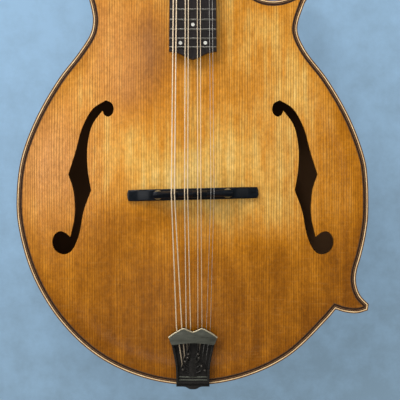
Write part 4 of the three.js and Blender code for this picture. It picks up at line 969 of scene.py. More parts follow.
def make_finishes(look):
    """Each wood, wire and speckled finish is made from its shades and sizes."""
    FINISHES.update({
        "top": spruce_top(look),
        # Flamed maple, stained red-brown: darker round the edge, and bare and dull on its inner side, whose brown is
        #         # darker than bare maple as painted shade inside the closed body
        "back": flamed_maple("stained_maple_back", "#3d1c09", look.maple_tint, 6.5, True, "#74563c"),
        # Bent flamed maple: narrow upright stripes along the sides
        "rib": flamed_maple("stained_maple_ribs", "#3a1a08", "#8c4a1b", 6),
        # Carved flamed maple: paler in the middle of the neck, where a hand rubs it
        "neck": flamed_maple("stained_maple_neck", "#401e0a", "#99541f", 7, True),
        # Drawn music wire: bright thin lines
        "steel": wire("plain_steel_wire", "#b3afa8", "#e0dcd4", {"Metallic": 0.8, "Roughness": 0.4}),
        # Phosphor bronze wound on steel: warm pale rings. They are 0.25 mm, and are drawn 0.9 mm so that they show
        "wound": wire("wound_bronze_wire", "#dcc29c", "#ffebcc", {"Metallic": 0.5, "Roughness": 0.46}, 0.9),
    })
    for key, name, dark, light, *rest in CLOSE_SHADES:
        FINISHES[key] = speckled(name, shade_of(look, dark), shade_of(look, light), *rest)


# ---- pieces of the body

# Where the top is lighter or darker, from the varnish's burst and from painted light and shade on the arch: strength,
# # place across and from the tail, half width, half length
BURST_AND_SHADE_HILLS = [
    (0.3, 4, 200, 60, 54), (0.1, -75, 220, 50, 60), (0.08, 75, 205, 45, 60),
    (0.1, 72, 335, 36, 34), (0.14, 112, 285, 34, 40), (0.01, -60, 335, 26, 40),
    (-0.32, -38, 163, 34, 17), (-0.26, -80, 156, 30, 28), (-0.06, -125, 160, 36, 60),
    (-0.52, -40, 320, 22, 44), (-0.12, -66, 280, 30, 26), (-0.1, 40, 285, 30, 24),
    (-0.08, -120, 210, 36, 60), (-0.06, 85, 95, 40, 26), (0.1, -126, 111, 30, 30),
    (0.16, 125, 102, 30, 30), (0.07, 82, 54, 30, 24), (-0.08, -130, 215, 46, 60),
    (-0.1, -84, 338, 30, 34), (-0.06, -72, 284, 26, 26), (-0.12, -41, 265, 26, 20),
    (-0.06, -41, 111, 24, 20),
]
# Where it steps darker, from the burst and from painted shade on the lower bout and the treble side: strength, axis,
# # and where the step begins and ends
BURST_AND_SHADE_STEPS = [(0.36, 1, 180, 105), (0.16, 1, 110, 40), (0.22, 0, 90, 150)]
# Painted sheen: where the top is drawn pale and rosy, as light from the left reflecting off the bass slope of the
# # arch, beside the fretboard and down the bass side
PAINTED_SHEEN_HILLS = [(0.16, -45, 330, 30, 50), (0.3, -88, 345, 30, 40), (0.5, -140, 215, 46, 60), (0.25, -72, 284, 26, 26)]
MIDDLE_SHADE = 0.6
TONGUE_HALF = 15
TONGUE_GAP = 0.05
RUBBED_STRENGTH = 0.1
RUBBED_EDGE = (16, 5)


def hills(points, table):
    """The sum of bell curves: each is its strength times e to the power of minus the squares of how many of its
    own half widths and half lengths the point lies from its middle.
    """
    strength, at_x, at_y, wide, high = np.array(table, float).T
    across, along = (points[:, :1] - at_x) / wide, (points[:, 1:2] - at_y) / high
    return np.exp(-(across**2) - along**2) @ strength


def top_burst_and_shade(points):
    """How light the top is drawn: the varnish's burst together with painted light and shade of the arch, as a middle
    shade and its hills, less eased steps in the lower bout, on the treble side and close to the rim.
    """
    steps = sum(strength * ease(points[:, axis], *ends) for strength, axis, *ends in BURST_AND_SHADE_STEPS)
    steps += RUBBED_STRENGTH * ease(rim_distance(points), *RUBBED_EDGE)
    return np.clip(MIDDLE_SHADE + hills(points, BURST_AND_SHADE_HILLS) - steps, 0, 1)


def make_top(look):
    """The arch and its carving over the inner arch, kept where they lie inside the binding and outside the f holes."""

    def outer(x, y):
        """The arch with its carving."""
        return top_height(x, y) + carving(x, y)

    def inner(x, y):
        """A share of the arch, lower where the carving is."""
        return SEAM + TOP_ARCH * INNER_ARCH_SHARE * arch_share(x, y) + np.minimum(carving(x, y), 0)

    cutter = prism(inset(BINDING_WIDTH), -10, 60, [F_PLAN, mirrored(F_PLAN)])
    shape = carved(plate(look.plate_cell / MM, outer, inner), [cutter], "INTERSECT")
    marks = {"burst": top_burst_and_shade(shape[0]), "rose": np.clip(hills(shape[0], PAINTED_SHEEN_HILLS), 0, 1)}
    piece("carved_top", shape, "top", stands_for="top_plate", marks=marks, crease=40)
    dress("tone_bar_bass", "spruce_inside")
    dress("tone_bar_treble", "spruce_inside")


def make_back(look):
    """The same arch below the rim, kept inside the binding and in the half-round tongue that covers the heel."""

    def outer(x, y):
        """The arch below the edge of the plate."""
        return -RIM_DEPTH - EDGE_THICKNESS - BACK_ARCH * arch_share(x, y)

    def inner(x, y):
        """A share of the arch below the rim."""
        return -RIM_DEPTH - SEAM - BACK_ARCH * INNER_ARCH_SHARE * arch_share(x, y)

    turn = np.linspace(0, math.pi, 25)
    tongue = circle(turn, TONGUE_HALF) + [0, BODY_LENGTH]
    foot = BODY_LENGTH - 2 * BINDING_WIDTH
    tongue = np.vstack([tongue, [(-TONGUE_HALF, foot), (TONGUE_HALF, foot)]])
    cutter = carved(prism(inset(BINDING_WIDTH), -90, 0), [prism(tongue, -90, 0)], "UNION")
    shape = carved(plate(look.plate_cell / MM, inner, outer), [cutter], "INTERSECT")
    outside = shape[0][:, 2] < inner(shape[0][:, 0], shape[0][:, 1]) - 1
    burst = np.where(outside, ease(rim_distance(shape[0]), 3, 95), 0.1)
    marks = {"burst": burst, "varnish": outside.astype(float)}
    piece("carved_back", shape, "back", stands_for="back_plate", marks=marks, crease=40)


def without_doubles(outline):
    """A closed outline without the points that lie on the one after."""
    return outline[np.linalg.norm(np.roll(outline, -1, axis=0) - outline, axis=1) > 1e-3]


RIM_ORDER = ("bass", "underside", "lower_tip", "treble", "upper_tip", "cutaway")


def open_ring(near, far, low, high, gap):
    """The strip between two inset outlines, open for the neck at the top and for the tongue at the back."""
    lines = []
    for edges in (inset_edges(near), inset_edges(far)):
        line = np.vstack([edges[name] for name in RIM_ORDER if name in edges])
        lines.append(np.vstack([(-gap, line[0, 1]), line, (gap, line[-1, 1])]))
    return prism(without_doubles(np.vstack([lines[0], lines[1][::-1]])), low, high)


REBATE = 1.4
# The lines of the binding: name, finish, and distances of their two sides from the rim
TOP_LINES = [
    ("cream_edge", "ivoroid", 1.0, 1.9), ("black_line_outer", "black_line", 1.9, 2.7),
    ("tan_line_inner", "tan_line", 2.7, 3.3), ("black_line_inner", "black_line", 3.3, 4.9),
    ("brown_line", "lacquer_edge", 4.9, 5.4),
]


def make_bindings(look):
    """Strips side by side round each plate, with a dark corner of lacquer and painted shade let into the outermost."""
    low_face = -RIM_DEPTH - EDGE_THICKNESS
    top_gap = float(neck_half(0)) + SEAM
    sides = (
        ("top", TOUCH, EDGE_THICKNESS, top_gap),
        ("back", low_face, -RIM_DEPTH - TOUCH, TONGUE_HALF + TONGUE_GAP),
    )
    for side, low, high, gap in sides:
        lip = (high - REBATE, high) if side == "top" else (low, low + REBATE)
        rest = (low, high - REBATE) if side == "top" else (low + REBATE, high)
        cream = TOP_LINES[0][2:]
        shapes = [open_ring(0, cream[0], *rest, gap), open_ring(*cream, low, high, gap)]
        piece(f"{side}_cream_binding", joined(shapes), "ivoroid", stands_for=f"{side}_binding")
        # The corner's dark brown is partly painted shade of the rounded edge
        piece(f"{side}_lacquered_corner", open_ring(0.0, cream[0], *lip, gap), "lacquer_edge")
        for name, finish, near, far in TOP_LINES[1:]:
            piece(f"{side}_{name}", open_ring(near, far, low, high, gap), finish)


def make_ribs(look):
    """Four strips between the outline and the outline moved in by their thickness, cut at the tail, the points and
    the neck.
    """
    outer, inner = inset_edges(0), inset_edges(RIB_THICKNESS)
    gap = float(neck_half(0)) + SEAM
    half = SEAM / 2
    lines = {name: [] for name in ("rib_bass", "rib_treble_lower", "rib_treble_waist", "rib_cutaway")}
    for edges in (outer, inner):
        bass, cutaway = edges["bass"], edges["cutaway"]
        cut = int(np.argmin(np.linalg.norm(bass, axis=1)))
        tip = [edges["lower_tip"][1] - [0, half]] if edges is outer else np.zeros((0, 2))
        lines["rib_bass"].append(np.vstack([(-gap, bass[0, 1]), bass[:cut], (-half, bass[cut, 1])]))
        lower = [(half, bass[cut, 1]), bass[cut + 1 :], edges["underside"], *tip]
        lines["rib_treble_lower"].append(np.vstack(lower))
        start = [outer["lower_tip"][1] + [0, half]] if edges is outer else [edges["treble"][0]]
        lines["rib_treble_waist"].append(np.vstack([*start, edges["treble"][1:]]))
        lines["rib_cutaway"].append(np.vstack([cutaway, (gap, cutaway[-1, 1])]))
    for name, (outside, inside) in lines.items():
        outline = without_doubles(np.vstack([outside, inside[::-1]]))
        piece(f"bent_{name}", prism(outline, -RIM_DEPTH, 0), "rib", stands_for=name, crease=30)
    for node in ("head_block", "tail_block", "lower_point_block", "upper_point_block"):
        dress(node, "mahogany")
    for node in ("top_lining", "back_lining"):
        dress(node, "spruce_inside")


# ---- neck and headstock

NECK_TOP = -BOARD_THICKNESS - SEAM
NECK_DEPTH = 18
HEEL_LENGTH = 60
HEEL_DEPTH = 86
SHAFT_SHARES = [(1, 0.78, 2.6), (0.97, 0.81, 2.3), (0.8, 0.83, 2.2), (0.5, 0.92, 2.2), (0.26, 1, 2.2)]
HEEL_SHARES = [
    (1, 0.235, 2.2), (0.77, 0.29, 2.3), (0.57, 0.38, 2.4), (0.4, 0.52, 2.5),
    (0.25, 0.7, 2.7), (0.12, 0.86, 2.8), (-0.16, 1, 2.8),
]
HEAD_LENGTH = 152
HEAD_HALF = 40
HEAD_THICKNESS = 16.5
VENEER_THICKNESS = 2.2
HEAD_SHARES = [
    (0.475, 0), (0.5, 0.035), (0.66, 0.075), (0.8, 0.12), (0.79, 0.2), (0.745, 0.32), (0.75, 0.5),
    (0.79, 0.66), (0.88, 0.78), (0.98, 0.855), (0.99, 0.9), (0.9, 0.945), (0.72, 0.952), (0.52, 0.94),
    (0.34, 0.95), (0.16, 0.985), (0, 1),
]
HEAD_PLAN = both_halves(scaled_line(HEAD_SHARES, [HEAD_HALF, HEAD_LENGTH], 90))
POST_ROW = 19.5
FIRST_POST = 26
POST_PITCH = 23.5
POST_RADIUS = 2.9
POST_TOP = 10
TUNERS = [(side, side * POST_ROW, FIRST_POST + step * POST_PITCH) for side in (-1, 1) for step in range(4)]
POST_PLAY = 0.6
HEAD_ROUNDING = 1.1
WEDGE_SHARE = 0.62  # of the fretboard's width
WEDGE_PLACES = (-0.2, -54)
WEDGE_STEPS = 14
POCKET_HALF = 4.6
POCKET_LENGTH = 27
POCKET_DEPTH = 12


def neck_rings():
    """Rings of half a rounded square: each is a power of the sine and cosine, between places read off two smooth
    lines.
    """
    shaft = [(at * (NUT_FROM_JOINT + NUT_LENGTH), deep * NECK_DEPTH, power) for at, deep, power in SHAFT_SHARES]
    heel = [(at * HEEL_LENGTH, deep * HEEL_DEPTH, power) for at, deep, power in HEEL_SHARES]
    y, depth, power = spline(np.array([*shaft, *heel]), 110).T
    turn = np.linspace(0, math.pi, 33)[None, :]
    bend = 2 / power[:, None]
    half = neck_half(y)[:, None] - SEAM / 2
    across = half * np.sign(np.cos(turn)) * np.abs(np.cos(turn)) ** bend
    down = NECK_TOP - depth[:, None] * np.abs(np.sin(turn)) ** bend
    return np.stack([across, y[:, None] + 0 * across, down], -1)


def upright_bore(x, y, radius, low, high, sides=24):
    """A round bar along z, to cut a hole with."""
    return shifted(revolved([(0, low), (radius, low), (radius, high), (0, high)], sides), x, y)


def head_bores(low):
    """The bars that cut a hole for each post, down from the headstock's face."""
    return [upright_bore(x, y, POST_RADIUS + POST_PLAY, low, OVERRUN) for _, x, y in TUNERS]


def make_neck(look):
    """The neck's rings joined to a headstock of the plan, less its bores and what would lie in the body, and a wedge
    from the neck's line down to the arch.
    """
    shaft = placed(loft(neck_rings()), NECK_FRAME)
    head = bevelled(prism(HEAD_PLAN, -HEAD_THICKNESS, -VENEER_THICKNESS - TOUCH), HEAD_ROUNDING, 3)
    pocket = block((-POCKET_HALF, -NUT_LENGTH - 1, -POCKET_DEPTH), (POCKET_HALF, POCKET_LENGTH, 2))
    head = placed(carved(head, [*head_bores(-HEAD_THICKNESS - OVERRUN), pocket]), HEAD_FRAME)
    wood = carved(shaft, [head], "UNION")
    in_body = block((-HALF_BOUT, 0, -HEEL_DEPTH), (HALF_BOUT, BODY_LENGTH + 0.05, 60))
    below = block((-HALF_BOUT, 0, -HEEL_DEPTH - 30), (HALF_BOUT, BODY_LENGTH + HEEL_LENGTH, -RIM_DEPTH))
    shape = carved(wood, [in_body, below])
    y = shape[0][:, 1] - BODY_LENGTH
    burst = 0.1 + 0.9 * ease(y, 10, 90) * ease(y, NUT_FROM_JOINT + 10, NUT_FROM_JOINT - 70)
    piece("carved_neck", shape, "neck", stands_for="neck", marks={"burst": burst}, crease=35)
    wedge = []
    for y in np.linspace(*WEDGE_PLACES, WEDGE_STEPS):
        half = WEDGE_SHARE * float(neck_half(y))
        upper = moved([(half, y, NECK_TOP), (-half, y, NECK_TOP)], NECK_FRAME)
        lower = [(p[0], p[1], float(top_height(p[0], p[1]))) for p in upper[::-1]]
        wedge.append([*lower, *upper])
    marks = {"burst": np.zeros(WEDGE_STEPS * 4)}
    piece("fretboard_wedge", loft(wedge), "neck", stands_for="fretboard_support", marks=marks)


COVER_SHARES = [(1, 0.03), (1.1, 0.3), (0.8, 0.6), (0.45, 0.85), (0, 1)]
COVER_HALF = 7.5
COVER_LENGTH = 34
# Each ply's share of the cover's plan, its two heights and its finish
COVER_PLIES = [(1, 0.02, 0.5, "cover"), (1, 0.5, 0.85, "white_ply"), (0.9, 0.85, 1.7, "cover")]
COVER_SCREWS = ((-5.2, 5), (5.2, 5), (0, 28))
BUSHING = [(3.4, -0.1), (5.1, -0.1), (5.1, 0.5), (4.6, 1.0), (3.7, 1.2), (3.4, 1.0)]


def dome_screw(radius, height):
    """A round screw head: a quarter of an ellipse turned about z, with a slot sawn across it."""
    turn = np.linspace(0, math.pi / 2, 8)
    profile = [
        (0, 0), (radius, 0), *np.column_stack([radius * np.cos(turn), 0.25 * height + 0.75 * height * np.sin(turn)])
    ]
    slot = block((-radius - 1, -0.12 * radius, 0.55 * height), (radius + 1, 0.12 * radius, height + 1))
    return carved(revolved(profile, 24), [slot])


def make_headstock(look):
    """A veneer of the headstock's plan with its bores and the opening for the rod, a cover of three thin plies over
    that, and a turned bushing round each post.
    """
    face = bevelled(prism(HEAD_PLAN, -VENEER_THICKNESS, -0.05), 0.35, 2)
    low = -VENEER_THICKNESS - OVERRUN
    cutters = head_bores(low)
    cutters.append(block((-POCKET_HALF, -OVERRUN, low), (POCKET_HALF, POCKET_LENGTH, OVERRUN)))
    cutters.append(block((-HEAD_HALF, -OVERRUN, low), (HEAD_HALF, 1, OVERRUN)))
    veneer = carved(face, cutters)
    piece("headstock_face_veneer", veneer, "veneer", stands_for="headstock_veneer", matrix=HEAD_FRAME)
    plan = both_halves(scaled_line(COVER_SHARES, [COVER_HALF, COVER_LENGTH], 30))
    middle = np.array([0, 0.4 * COVER_LENGTH])
    for k, (share, low, high, finish) in enumerate(COVER_PLIES):
        ply = bevelled(prism(middle + (plan - middle) * share, low, high), 0.12, 1)
        node = "truss_rod_cover" if k == 0 else ""
        piece(f"rod_cover_ply_{k + 1}", ply, finish, stands_for=node, matrix=HEAD_FRAME)
    top = COVER_PLIES[-1][2] - TOUCH
    heads = [shifted(dome_screw(1.3, 0.7), x, y, top) for x, y in COVER_SCREWS]
    piece("rod_cover_screws", joined(heads), "nickel", matrix=HEAD_FRAME)
    rings = [shifted(revolved(BUSHING, 32, closed=True), x, y) for _, x, y in TUNERS]
    piece("post_bushings", joined(rings), "nickel", matrix=HEAD_FRAME)
    dress("truss_rod", "rod_steel")
    dress("truss_rod_nut", "brass")


# ---- fretboard, frets and nut

BOARD_END = NUT_FROM_JOINT - float(fret_from_nut(FRET_COUNT)) - BOARD_OVERHANG
BOARD_POINT_SHARES = [(1, 0), (0.85, 0.05), (0.665, 0.16), (0.5, 0.36), (0.34, 0.58), (0.13, 0.86), (0, 1)]
DOT_FRETS = {5: 1, 7: 1, 10: 1, 12: 2, 15: 1, 17: 1, 19: 1, 22: 1, 24: 2}
DOT_RADIUS = 1.7
DOT_SPREAD = 11.8
SIDE_DOT_FRETS = (5, 7, 10, 12, 15)
SIDE_DOT_RADIUS = 0.9
SIDE_DOT_SPREAD = 3
FRET_SHORTER = 0.15  # than the board is wide, at each end
FRET_TANG = -0.3
SLOT_PLAY = 0.12  # of a string in its slot in the nut


def dot(radius):
    """A thin disc let into the board, standing a hair proud."""
    return revolved([(0, -0.4), (radius, -0.4), (radius, 0.06), (0, 0.06)], 28)


def dot_place(n):
    """Half way between a fret and the one before it, as a place along the neck."""
    return NUT_FROM_JOINT - float(fret_from_nut(n) + fret_from_nut(n - 1)) / 2


def make_fretboard(look):
    """A board of straight sides and a scalloped end, frets whose section is a flattened half ellipse that drops at
    both ends, and dots half way between frets.
    """
    width = float(board_half(fret_from_nut(FRET_COUNT)))
    right = spline(np.array(BOARD_POINT_SHARES) * [width, -BOARD_DROP] + [0, BOARD_END], 40)
    corner = np.array([NUT_WIDTH / 2, NUT_FROM_JOINT])
    plan = np.vstack([mirrored(corner), mirrored(right), right[-2::-1], corner])
    board = bevelled(prism(plan, -BOARD_THICKNESS, 0), 0.35, 2)
    piece("ebony_fretboard", board, "board", stands_for="fretboard", matrix=NECK_FRAME)
    turn = np.linspace(0, math.pi, 9)
    section = np.column_stack([FRET_WIDTH / 2 * np.cos(turn), FRET_HEIGHT * np.sin(turn) ** 0.8])
    section = np.vstack([section, [(-FRET_WIDTH / 2, FRET_TANG), (FRET_WIDTH / 2, FRET_TANG)]])
    shares = np.array([0.25, 1, 1, 0.25])[:, None]
    heights = np.where(section[:, 1] > 0, section[:, 1] * shares, section[:, 1])
    wires = []
    for n in range(1, FRET_COUNT + 1):
        from_nut = float(fret_from_nut(n))
        half = float(board_half(from_nut)) - FRET_SHORTER
        across = np.array([-half, 0.5 - half, half - 0.5, half])[:, None] + 0 * heights
        along = NUT_FROM_JOINT - from_nut + section[:, 0] + 0 * heights
        wires.append(loft(np.stack([across, along, heights], -1)))
    piece("fret_wires", joined(wires), "fret", matrix=NECK_FRAME)
    dots = []
    for n, count in DOT_FRETS.items():
        spread = (0,) if count == 1 else (-DOT_SPREAD, DOT_SPREAD)
        dots += [shifted(dot(DOT_RADIUS), x, dot_place(n)) for x in spread]
    piece("pearl_dots", joined(dots), "pearl", matrix=NECK_FRAME)
    small = placed(dot(SIDE_DOT_RADIUS), Matrix.Rotation(-math.pi / 2, 4, "Y"))
    side = []
    for n in SIDE_DOT_FRETS:
        y = dot_place(n)
        spread = (-SIDE_DOT_SPREAD, SIDE_DOT_SPREAD) if DOT_FRETS[n] == 2 else (0,)
        side += [shifted(small, -float(neck_half(y)), y + part, -BOARD_THICKNESS / 2) for part in spread]
    piece("side_dots", joined(side), "pearl", matrix=NECK_FRAME)


def strings():
    """Each string's radius, side, places across the nut and saddle, hook on the tailpiece, and post."""
    made = []
    for c, course in enumerate((-1.5, -0.5, 0.5, 1.5)):
        for h, half in enumerate((-0.5, 0.5)):
            index = 2 * c + h
            side = -1 if index < 4 else 1
            step = index if index < 4 else 7 - index
            at_nut, at_saddle = (course / 3 * (w - PAIR_GAP) + half * PAIR_GAP for w in (NUT_SPREAD, SADDLE_SPREAD))
            made.append({
                "radius": COURSE_RADII[c], "side": side, "nut": at_nut, "saddle": at_saddle,
                "hook": (mix(-HOOK_SPREAD / 2, HOOK_SPREAD / 2, index / 7), HOOK_ROWS[h]),
                "post": (side * POST_ROW, FIRST_POST + step * POST_PITCH),
            })
    return made


def make_nut(look):
    """A bar whose top falls in a quarter ellipse towards the headstock, cut down to a flat floor under each string."""
    x = np.linspace(-NUT_WIDTH / 2, NUT_WIDTH / 2, 381)
    near = [np.abs(x - string["nut"]) < string["radius"] + SLOT_PLAY for string in strings()]
    slot = np.any(near, axis=0)
    front, back = NUT_FROM_JOINT + 0.05, NUT_FROM_JOINT + NUT_LENGTH
    turn = np.linspace(0, math.pi / 2, 7)
    along = np.concatenate([[front, front], mix(front + 1.5, back, np.sin(turn)), [back]])
    rise = np.concatenate([[NECK_TOP, NUT_RISE], mix(NUT_RISE - 1.6, NUT_RISE, np.cos(turn)), [NECK_TOP]])
    floor = NUT_STRING_HEIGHT - 0.05
    ends = 1 - 0.25 * (np.abs(x) > NUT_WIDTH / 2 - 0.3)
    heights = np.where(slot[:, None], np.minimum(rise, floor), rise * np.where(rise > 0, ends[:, None], 1))
    rings = np.stack([x[:, None] + 0 * heights, along + 0 * heights, heights], -1)
    piece("slotted_bone_nut", loft(rings), "bone", stands_for="nut", matrix=NECK_FRAME, crease=30)


# ---- bridge

BASE_HALF = 62.5
BASE_WIDTH = 11
BASE_TOP = 27
BASE_TIP_DEPTH = 4
BRIDGE_POST_X = 33
BRIDGE_POST_RADIUS = 1.6
WHEEL_RADIUS = 4.7
WHEEL_THICKNESS = 2
WHEEL_LOW = BASE_TOP + 1.4
SADDLE_LOW = WHEEL_LOW + WHEEL_THICKNESS + SEAM
SADDLE_HALF = 37.5
SADDLE_WIDTH = 6.5
SADDLE_CROWN = 1.6
SADDLE_END_DROP = 3.2
SADDLE_SHOULDER_SHARE = 0.72
THREAD_PITCH = 0.7
POST_FIT = 0.15
WHEEL_FIT = 0.1
WHEEL_EDGE = 0.35
WHEEL_TEETH = 40
KNURL_DEPTH = 0.4
BASE_ROUNDING = 1.3
BASE_TIP_SHARE = 0.96  # of its width
BASE_SHOULDER = (0.62, 0.86)  # the shares of its half length between which its top falls
# Where the round in plan starts, as a share of the half length, and how long it is
BASE_END = (0.985, 0.017)
SADDLE_END = (0.97, 0.035)


def post_holes(low, high):
    """Two bars to cut the holes for the posts with."""
    return [upright_bore(side * BRIDGE_POST_X, 0, BRIDGE_POST_RADIUS + POST_FIT, low, high) for side, _ in SIDES]


def rounded_end(away, start, length):
    """The root of one less the square of how far past the start a place lies, never under a tenth."""
    return np.sqrt(np.clip(1 - (np.clip(away - start, 0, 1) / length) ** 2, 0.1, 1))


def make_bridge(look):
    """The base is a row of sections: a flat that turns down in a rounded shoulder, over a foot fitted to the arch of
    the top. Each end is rounded in plan by the root of one less a square.
    """
    share = np.linspace(-1, 1, 121)
    x = share * BASE_HALF
    away = np.abs(share)
    tip = rounded_end(away, *BASE_END)
    half = BASE_WIDTH / 2 * mix(1, BASE_TIP_SHARE, ease(away, 0.8, 1)) * tip
    ends = np.stack([np.stack([x, side * half, 0 * x], -1) for side in (-1, 1)])
    under = moved(ends, BRIDGE_FRAME)
    foot = top_height(under[..., 0], under[..., 1]).max(axis=0)
    top = mix(BASE_TOP, foot + BASE_TIP_DEPTH, ease(away, *BASE_SHOULDER)) - 1.2 * (1 - tip)
    turn = np.linspace(0, math.pi / 2, 5)
    shoulder_y = half[:, None] - BASE_ROUNDING * (1 - np.cos(turn))
    shoulder_z = top[:, None] - BASE_ROUNDING * (1 - np.sin(turn))
    foot_y = half[:, None] * np.linspace(-1, 1, 7)
    on_top = moved(np.stack([x[:, None] + 0 * foot_y, foot_y, 0 * foot_y], -1), BRIDGE_FRAME)
    foot_z = top_height(on_top[..., 0], on_top[..., 1]) + TOUCH
    y = np.hstack([shoulder_y, -shoulder_y[:, ::-1], foot_y])
    z = np.hstack([shoulder_z, shoulder_z[:, ::-1], foot_z])
    base = carved(loft(np.stack([x[:, None] + 0 * y, y, z], -1)), post_holes(20, BASE_TOP + 3))
    piece("ebony_bridge_foot", base, "ebony", stands_for="bridge_base", matrix=BRIDGE_FRAME, crease=34)
    post = threaded(BRIDGE_POST_RADIUS, 0.28, THREAD_PITCH, BASE_TOP - 4, SADDLE_LOW + 4)
    bore, face, high = BRIDGE_POST_RADIUS + WHEEL_FIT, WHEEL_RADIUS - WHEEL_EDGE, WHEEL_LOW + WHEEL_THICKNESS
    profile = [
        (bore, WHEEL_LOW), (face, WHEEL_LOW), (WHEEL_RADIUS, WHEEL_LOW + WHEEL_EDGE),
        (WHEEL_RADIUS, high - WHEEL_EDGE), (face, high), (bore, high),
    ]
    wheel = revolved(profile, 4 * WHEEL_TEETH, True, WHEEL_TEETH, KNURL_DEPTH, WHEEL_RADIUS - 0.1)
    for side, name in SIDES:
        x = side * BRIDGE_POST_X
        node = f"bridge_post_{name}"
        piece(f"threaded_post_{name}", shifted(post, x), "brass", stands_for=node, matrix=BRIDGE_FRAME)
        body, node = f"wheel_{name}", f"thumbwheel_{name}"
        piece(f"knurled_wheel_{name}", shifted(wheel, x), "brass", body, node, BRIDGE_FRAME)


# How far towards the neck the crown lies from the saddle's middle, under each course
COMPENSATION = (0.9, -0.5, 0.8, -0.4)


def make_saddle(look):
    """Sections that narrow from a shoulder to a crown. The crown's line steps back and forth under the courses, and
    falls at the ends.
    """
    x = np.linspace(-SADDLE_HALF, SADDLE_HALF, 241)
    away = np.abs(x) / SADDLE_HALF
    drop = SADDLE_END_DROP * away**6
    shoulder = mix(SADDLE_LOW, SADDLE_TOP, SADDLE_SHOULDER_SHARE) - drop / 2
    edges = [-SADDLE_SPREAD / 3, 0, SADDLE_SPREAD / 3]
    line = COMPENSATION[0] + sum(
        (b - a) * ease(x, e - 0.5, e + 0.5) for a, b, e in zip(COMPENSATION, COMPENSATION[1:], edges)
    )
    line = line * ease(1 - away, 0.02, 0.3)
    crown, peak, low = SADDLE_CROWN / 2, SADDLE_TOP - drop, SADDLE_LOW + 0 * x
    half = SADDLE_WIDTH / 2 * rounded_end(away, *SADDLE_END)
    columns = [
        (half, low), (half, shoulder), (0.94 * half, shoulder + 0.5), (line + crown, peak - 0.5),
        (line + 0.6 * crown, peak - 0.1), (line, peak), (line - 0.6 * crown, peak - 0.1),
        (line - crown, peak - 0.5), (-0.94 * half, shoulder + 0.5), (-half, shoulder), (-half, low),
    ]
    rings = np.stack([np.stack([x, y, z], -1) for y, z in columns], axis=1)
    shape = carved(loft(rings), post_holes(SADDLE_LOW - 2, SADDLE_LOW + 6))
    piece("compensated_ebony_saddle", shape, "ebony", "saddle_body", "saddle", BRIDGE_FRAME, crease=32)


# ---- tailpiece

# The length, the hanger's thickness, the reach of the loops and the mouth follow the photo. The first three are
# 54.5, 2.4 and 8 in the CAD part, whose box this stays inside
TAIL_HALF = 23.3
TAIL_LENGTH = 57
HANGER_HALF = 16
HANGER_DROP = 0.84 * RIM_DEPTH
HANGER_THICKNESS = 1.4
PLATE_Z = 8
PLATE_THICKNESS = 2
CROWN_LOW = 14.2
CROWN_THICKNESS = 3
BEND_LENGTH = 6
PEG_RADIUS = 1
HOOK_SPREAD = 30
HOOK_ROWS = (19.5, 29)
HOOK_Z = 12
EYE_REACH = 4.5
NECKED_SHARE = HANGER_HALF / TAIL_HALF
CROWN_FRONT = 0.985 * TAIL_LENGTH + 0.3
TAIL_SHARES = [(NECKED_SHARE, -0.2), (NECKED_SHARE, 0.1), (0.71, 0.34), (0.8, 0.55), (0.88, 0.7)]
CROWN_SIDE = [(0.88, 0.7), (0.94, 0.76), (1, 0.835)]
CROWN_TOP = [(1, 0.835), (0.83, 0.888), (0.62, 0.938), (0.37, 0.983), (0.17, 0.95), (0, 0.925)]
RAIL_WIDTH = 2.2
RAIL_TOP = 14.6
BEND_RADIUS = 5.5
MOUTH_FROM_TAIL = 38.3
MOUTH_CURVE = 3.3
BEAD_RADIUS = 0.75
RIDGES = (5.6, 8.4)
ACROSS = Matrix(((0, 0, 1, 0), (1, 0, 0, 0), (0, 1, 0, 0), (0, 0, 0, 1)))
# Where the string hooks stand on the plate, and the roots and ends of the branches cast beside them
HOOKS = [(-9.6, 17.2), (-7.6, 25.0), (-5.2, 28.6), (-4.4, 32.0), (4.9, 32.0), (5.6, 28.4), (8.2, 20.8), (11.4, 16.6)]
BRANCHES = [(2.6, 12), (2.8, 17), (2.9, 22), (2.2, 26)]
BRANCH_ENDS = [(8.2, 14.6), (7.4, 20.5), (6.2, 25.2), (4.6, 30.0)]
# Half of the panel cast between the branches
PANEL_RIGHT = [(0, 27.5), (2.2, 26.8), (3.4, 23.8), (3.6, 16), (4.2, 11), (3.9, 9.4), (0, 9.2)]
# Shares of the hanger's half width and drop
HANGER_SCREWS = ((-0.56, -0.36), (0.56, -0.36), (0, -0.8))
PLATE_HIGH = PLATE_Z + PLATE_THICKNESS
HANGER_INNER = -0.1
HANGER_FACE = HANGER_INNER - HANGER_THICKNESS
ROOM_HALF = TAIL_HALF * CROWN_SIDE[0][0] - RAIL_WIDTH
TAIL_SIZE = [TAIL_HALF, TAIL_LENGTH]
TAIL_SIDE = scaled_line(TAIL_SHARES, TAIL_SIZE, 30)
CROWN_EDGE = scaled_line(CROWN_TOP, TAIL_SIZE, 40)
CROWN_PLAN = np.vstack([scaled_line(CROWN_SIDE, TAIL_SIZE, 8), CROWN_EDGE[1:]])


def whole_outline(right):
    """A line down the right side and its mirror image up the left."""
    return np.vstack([right, mirrored(right[::-1])])


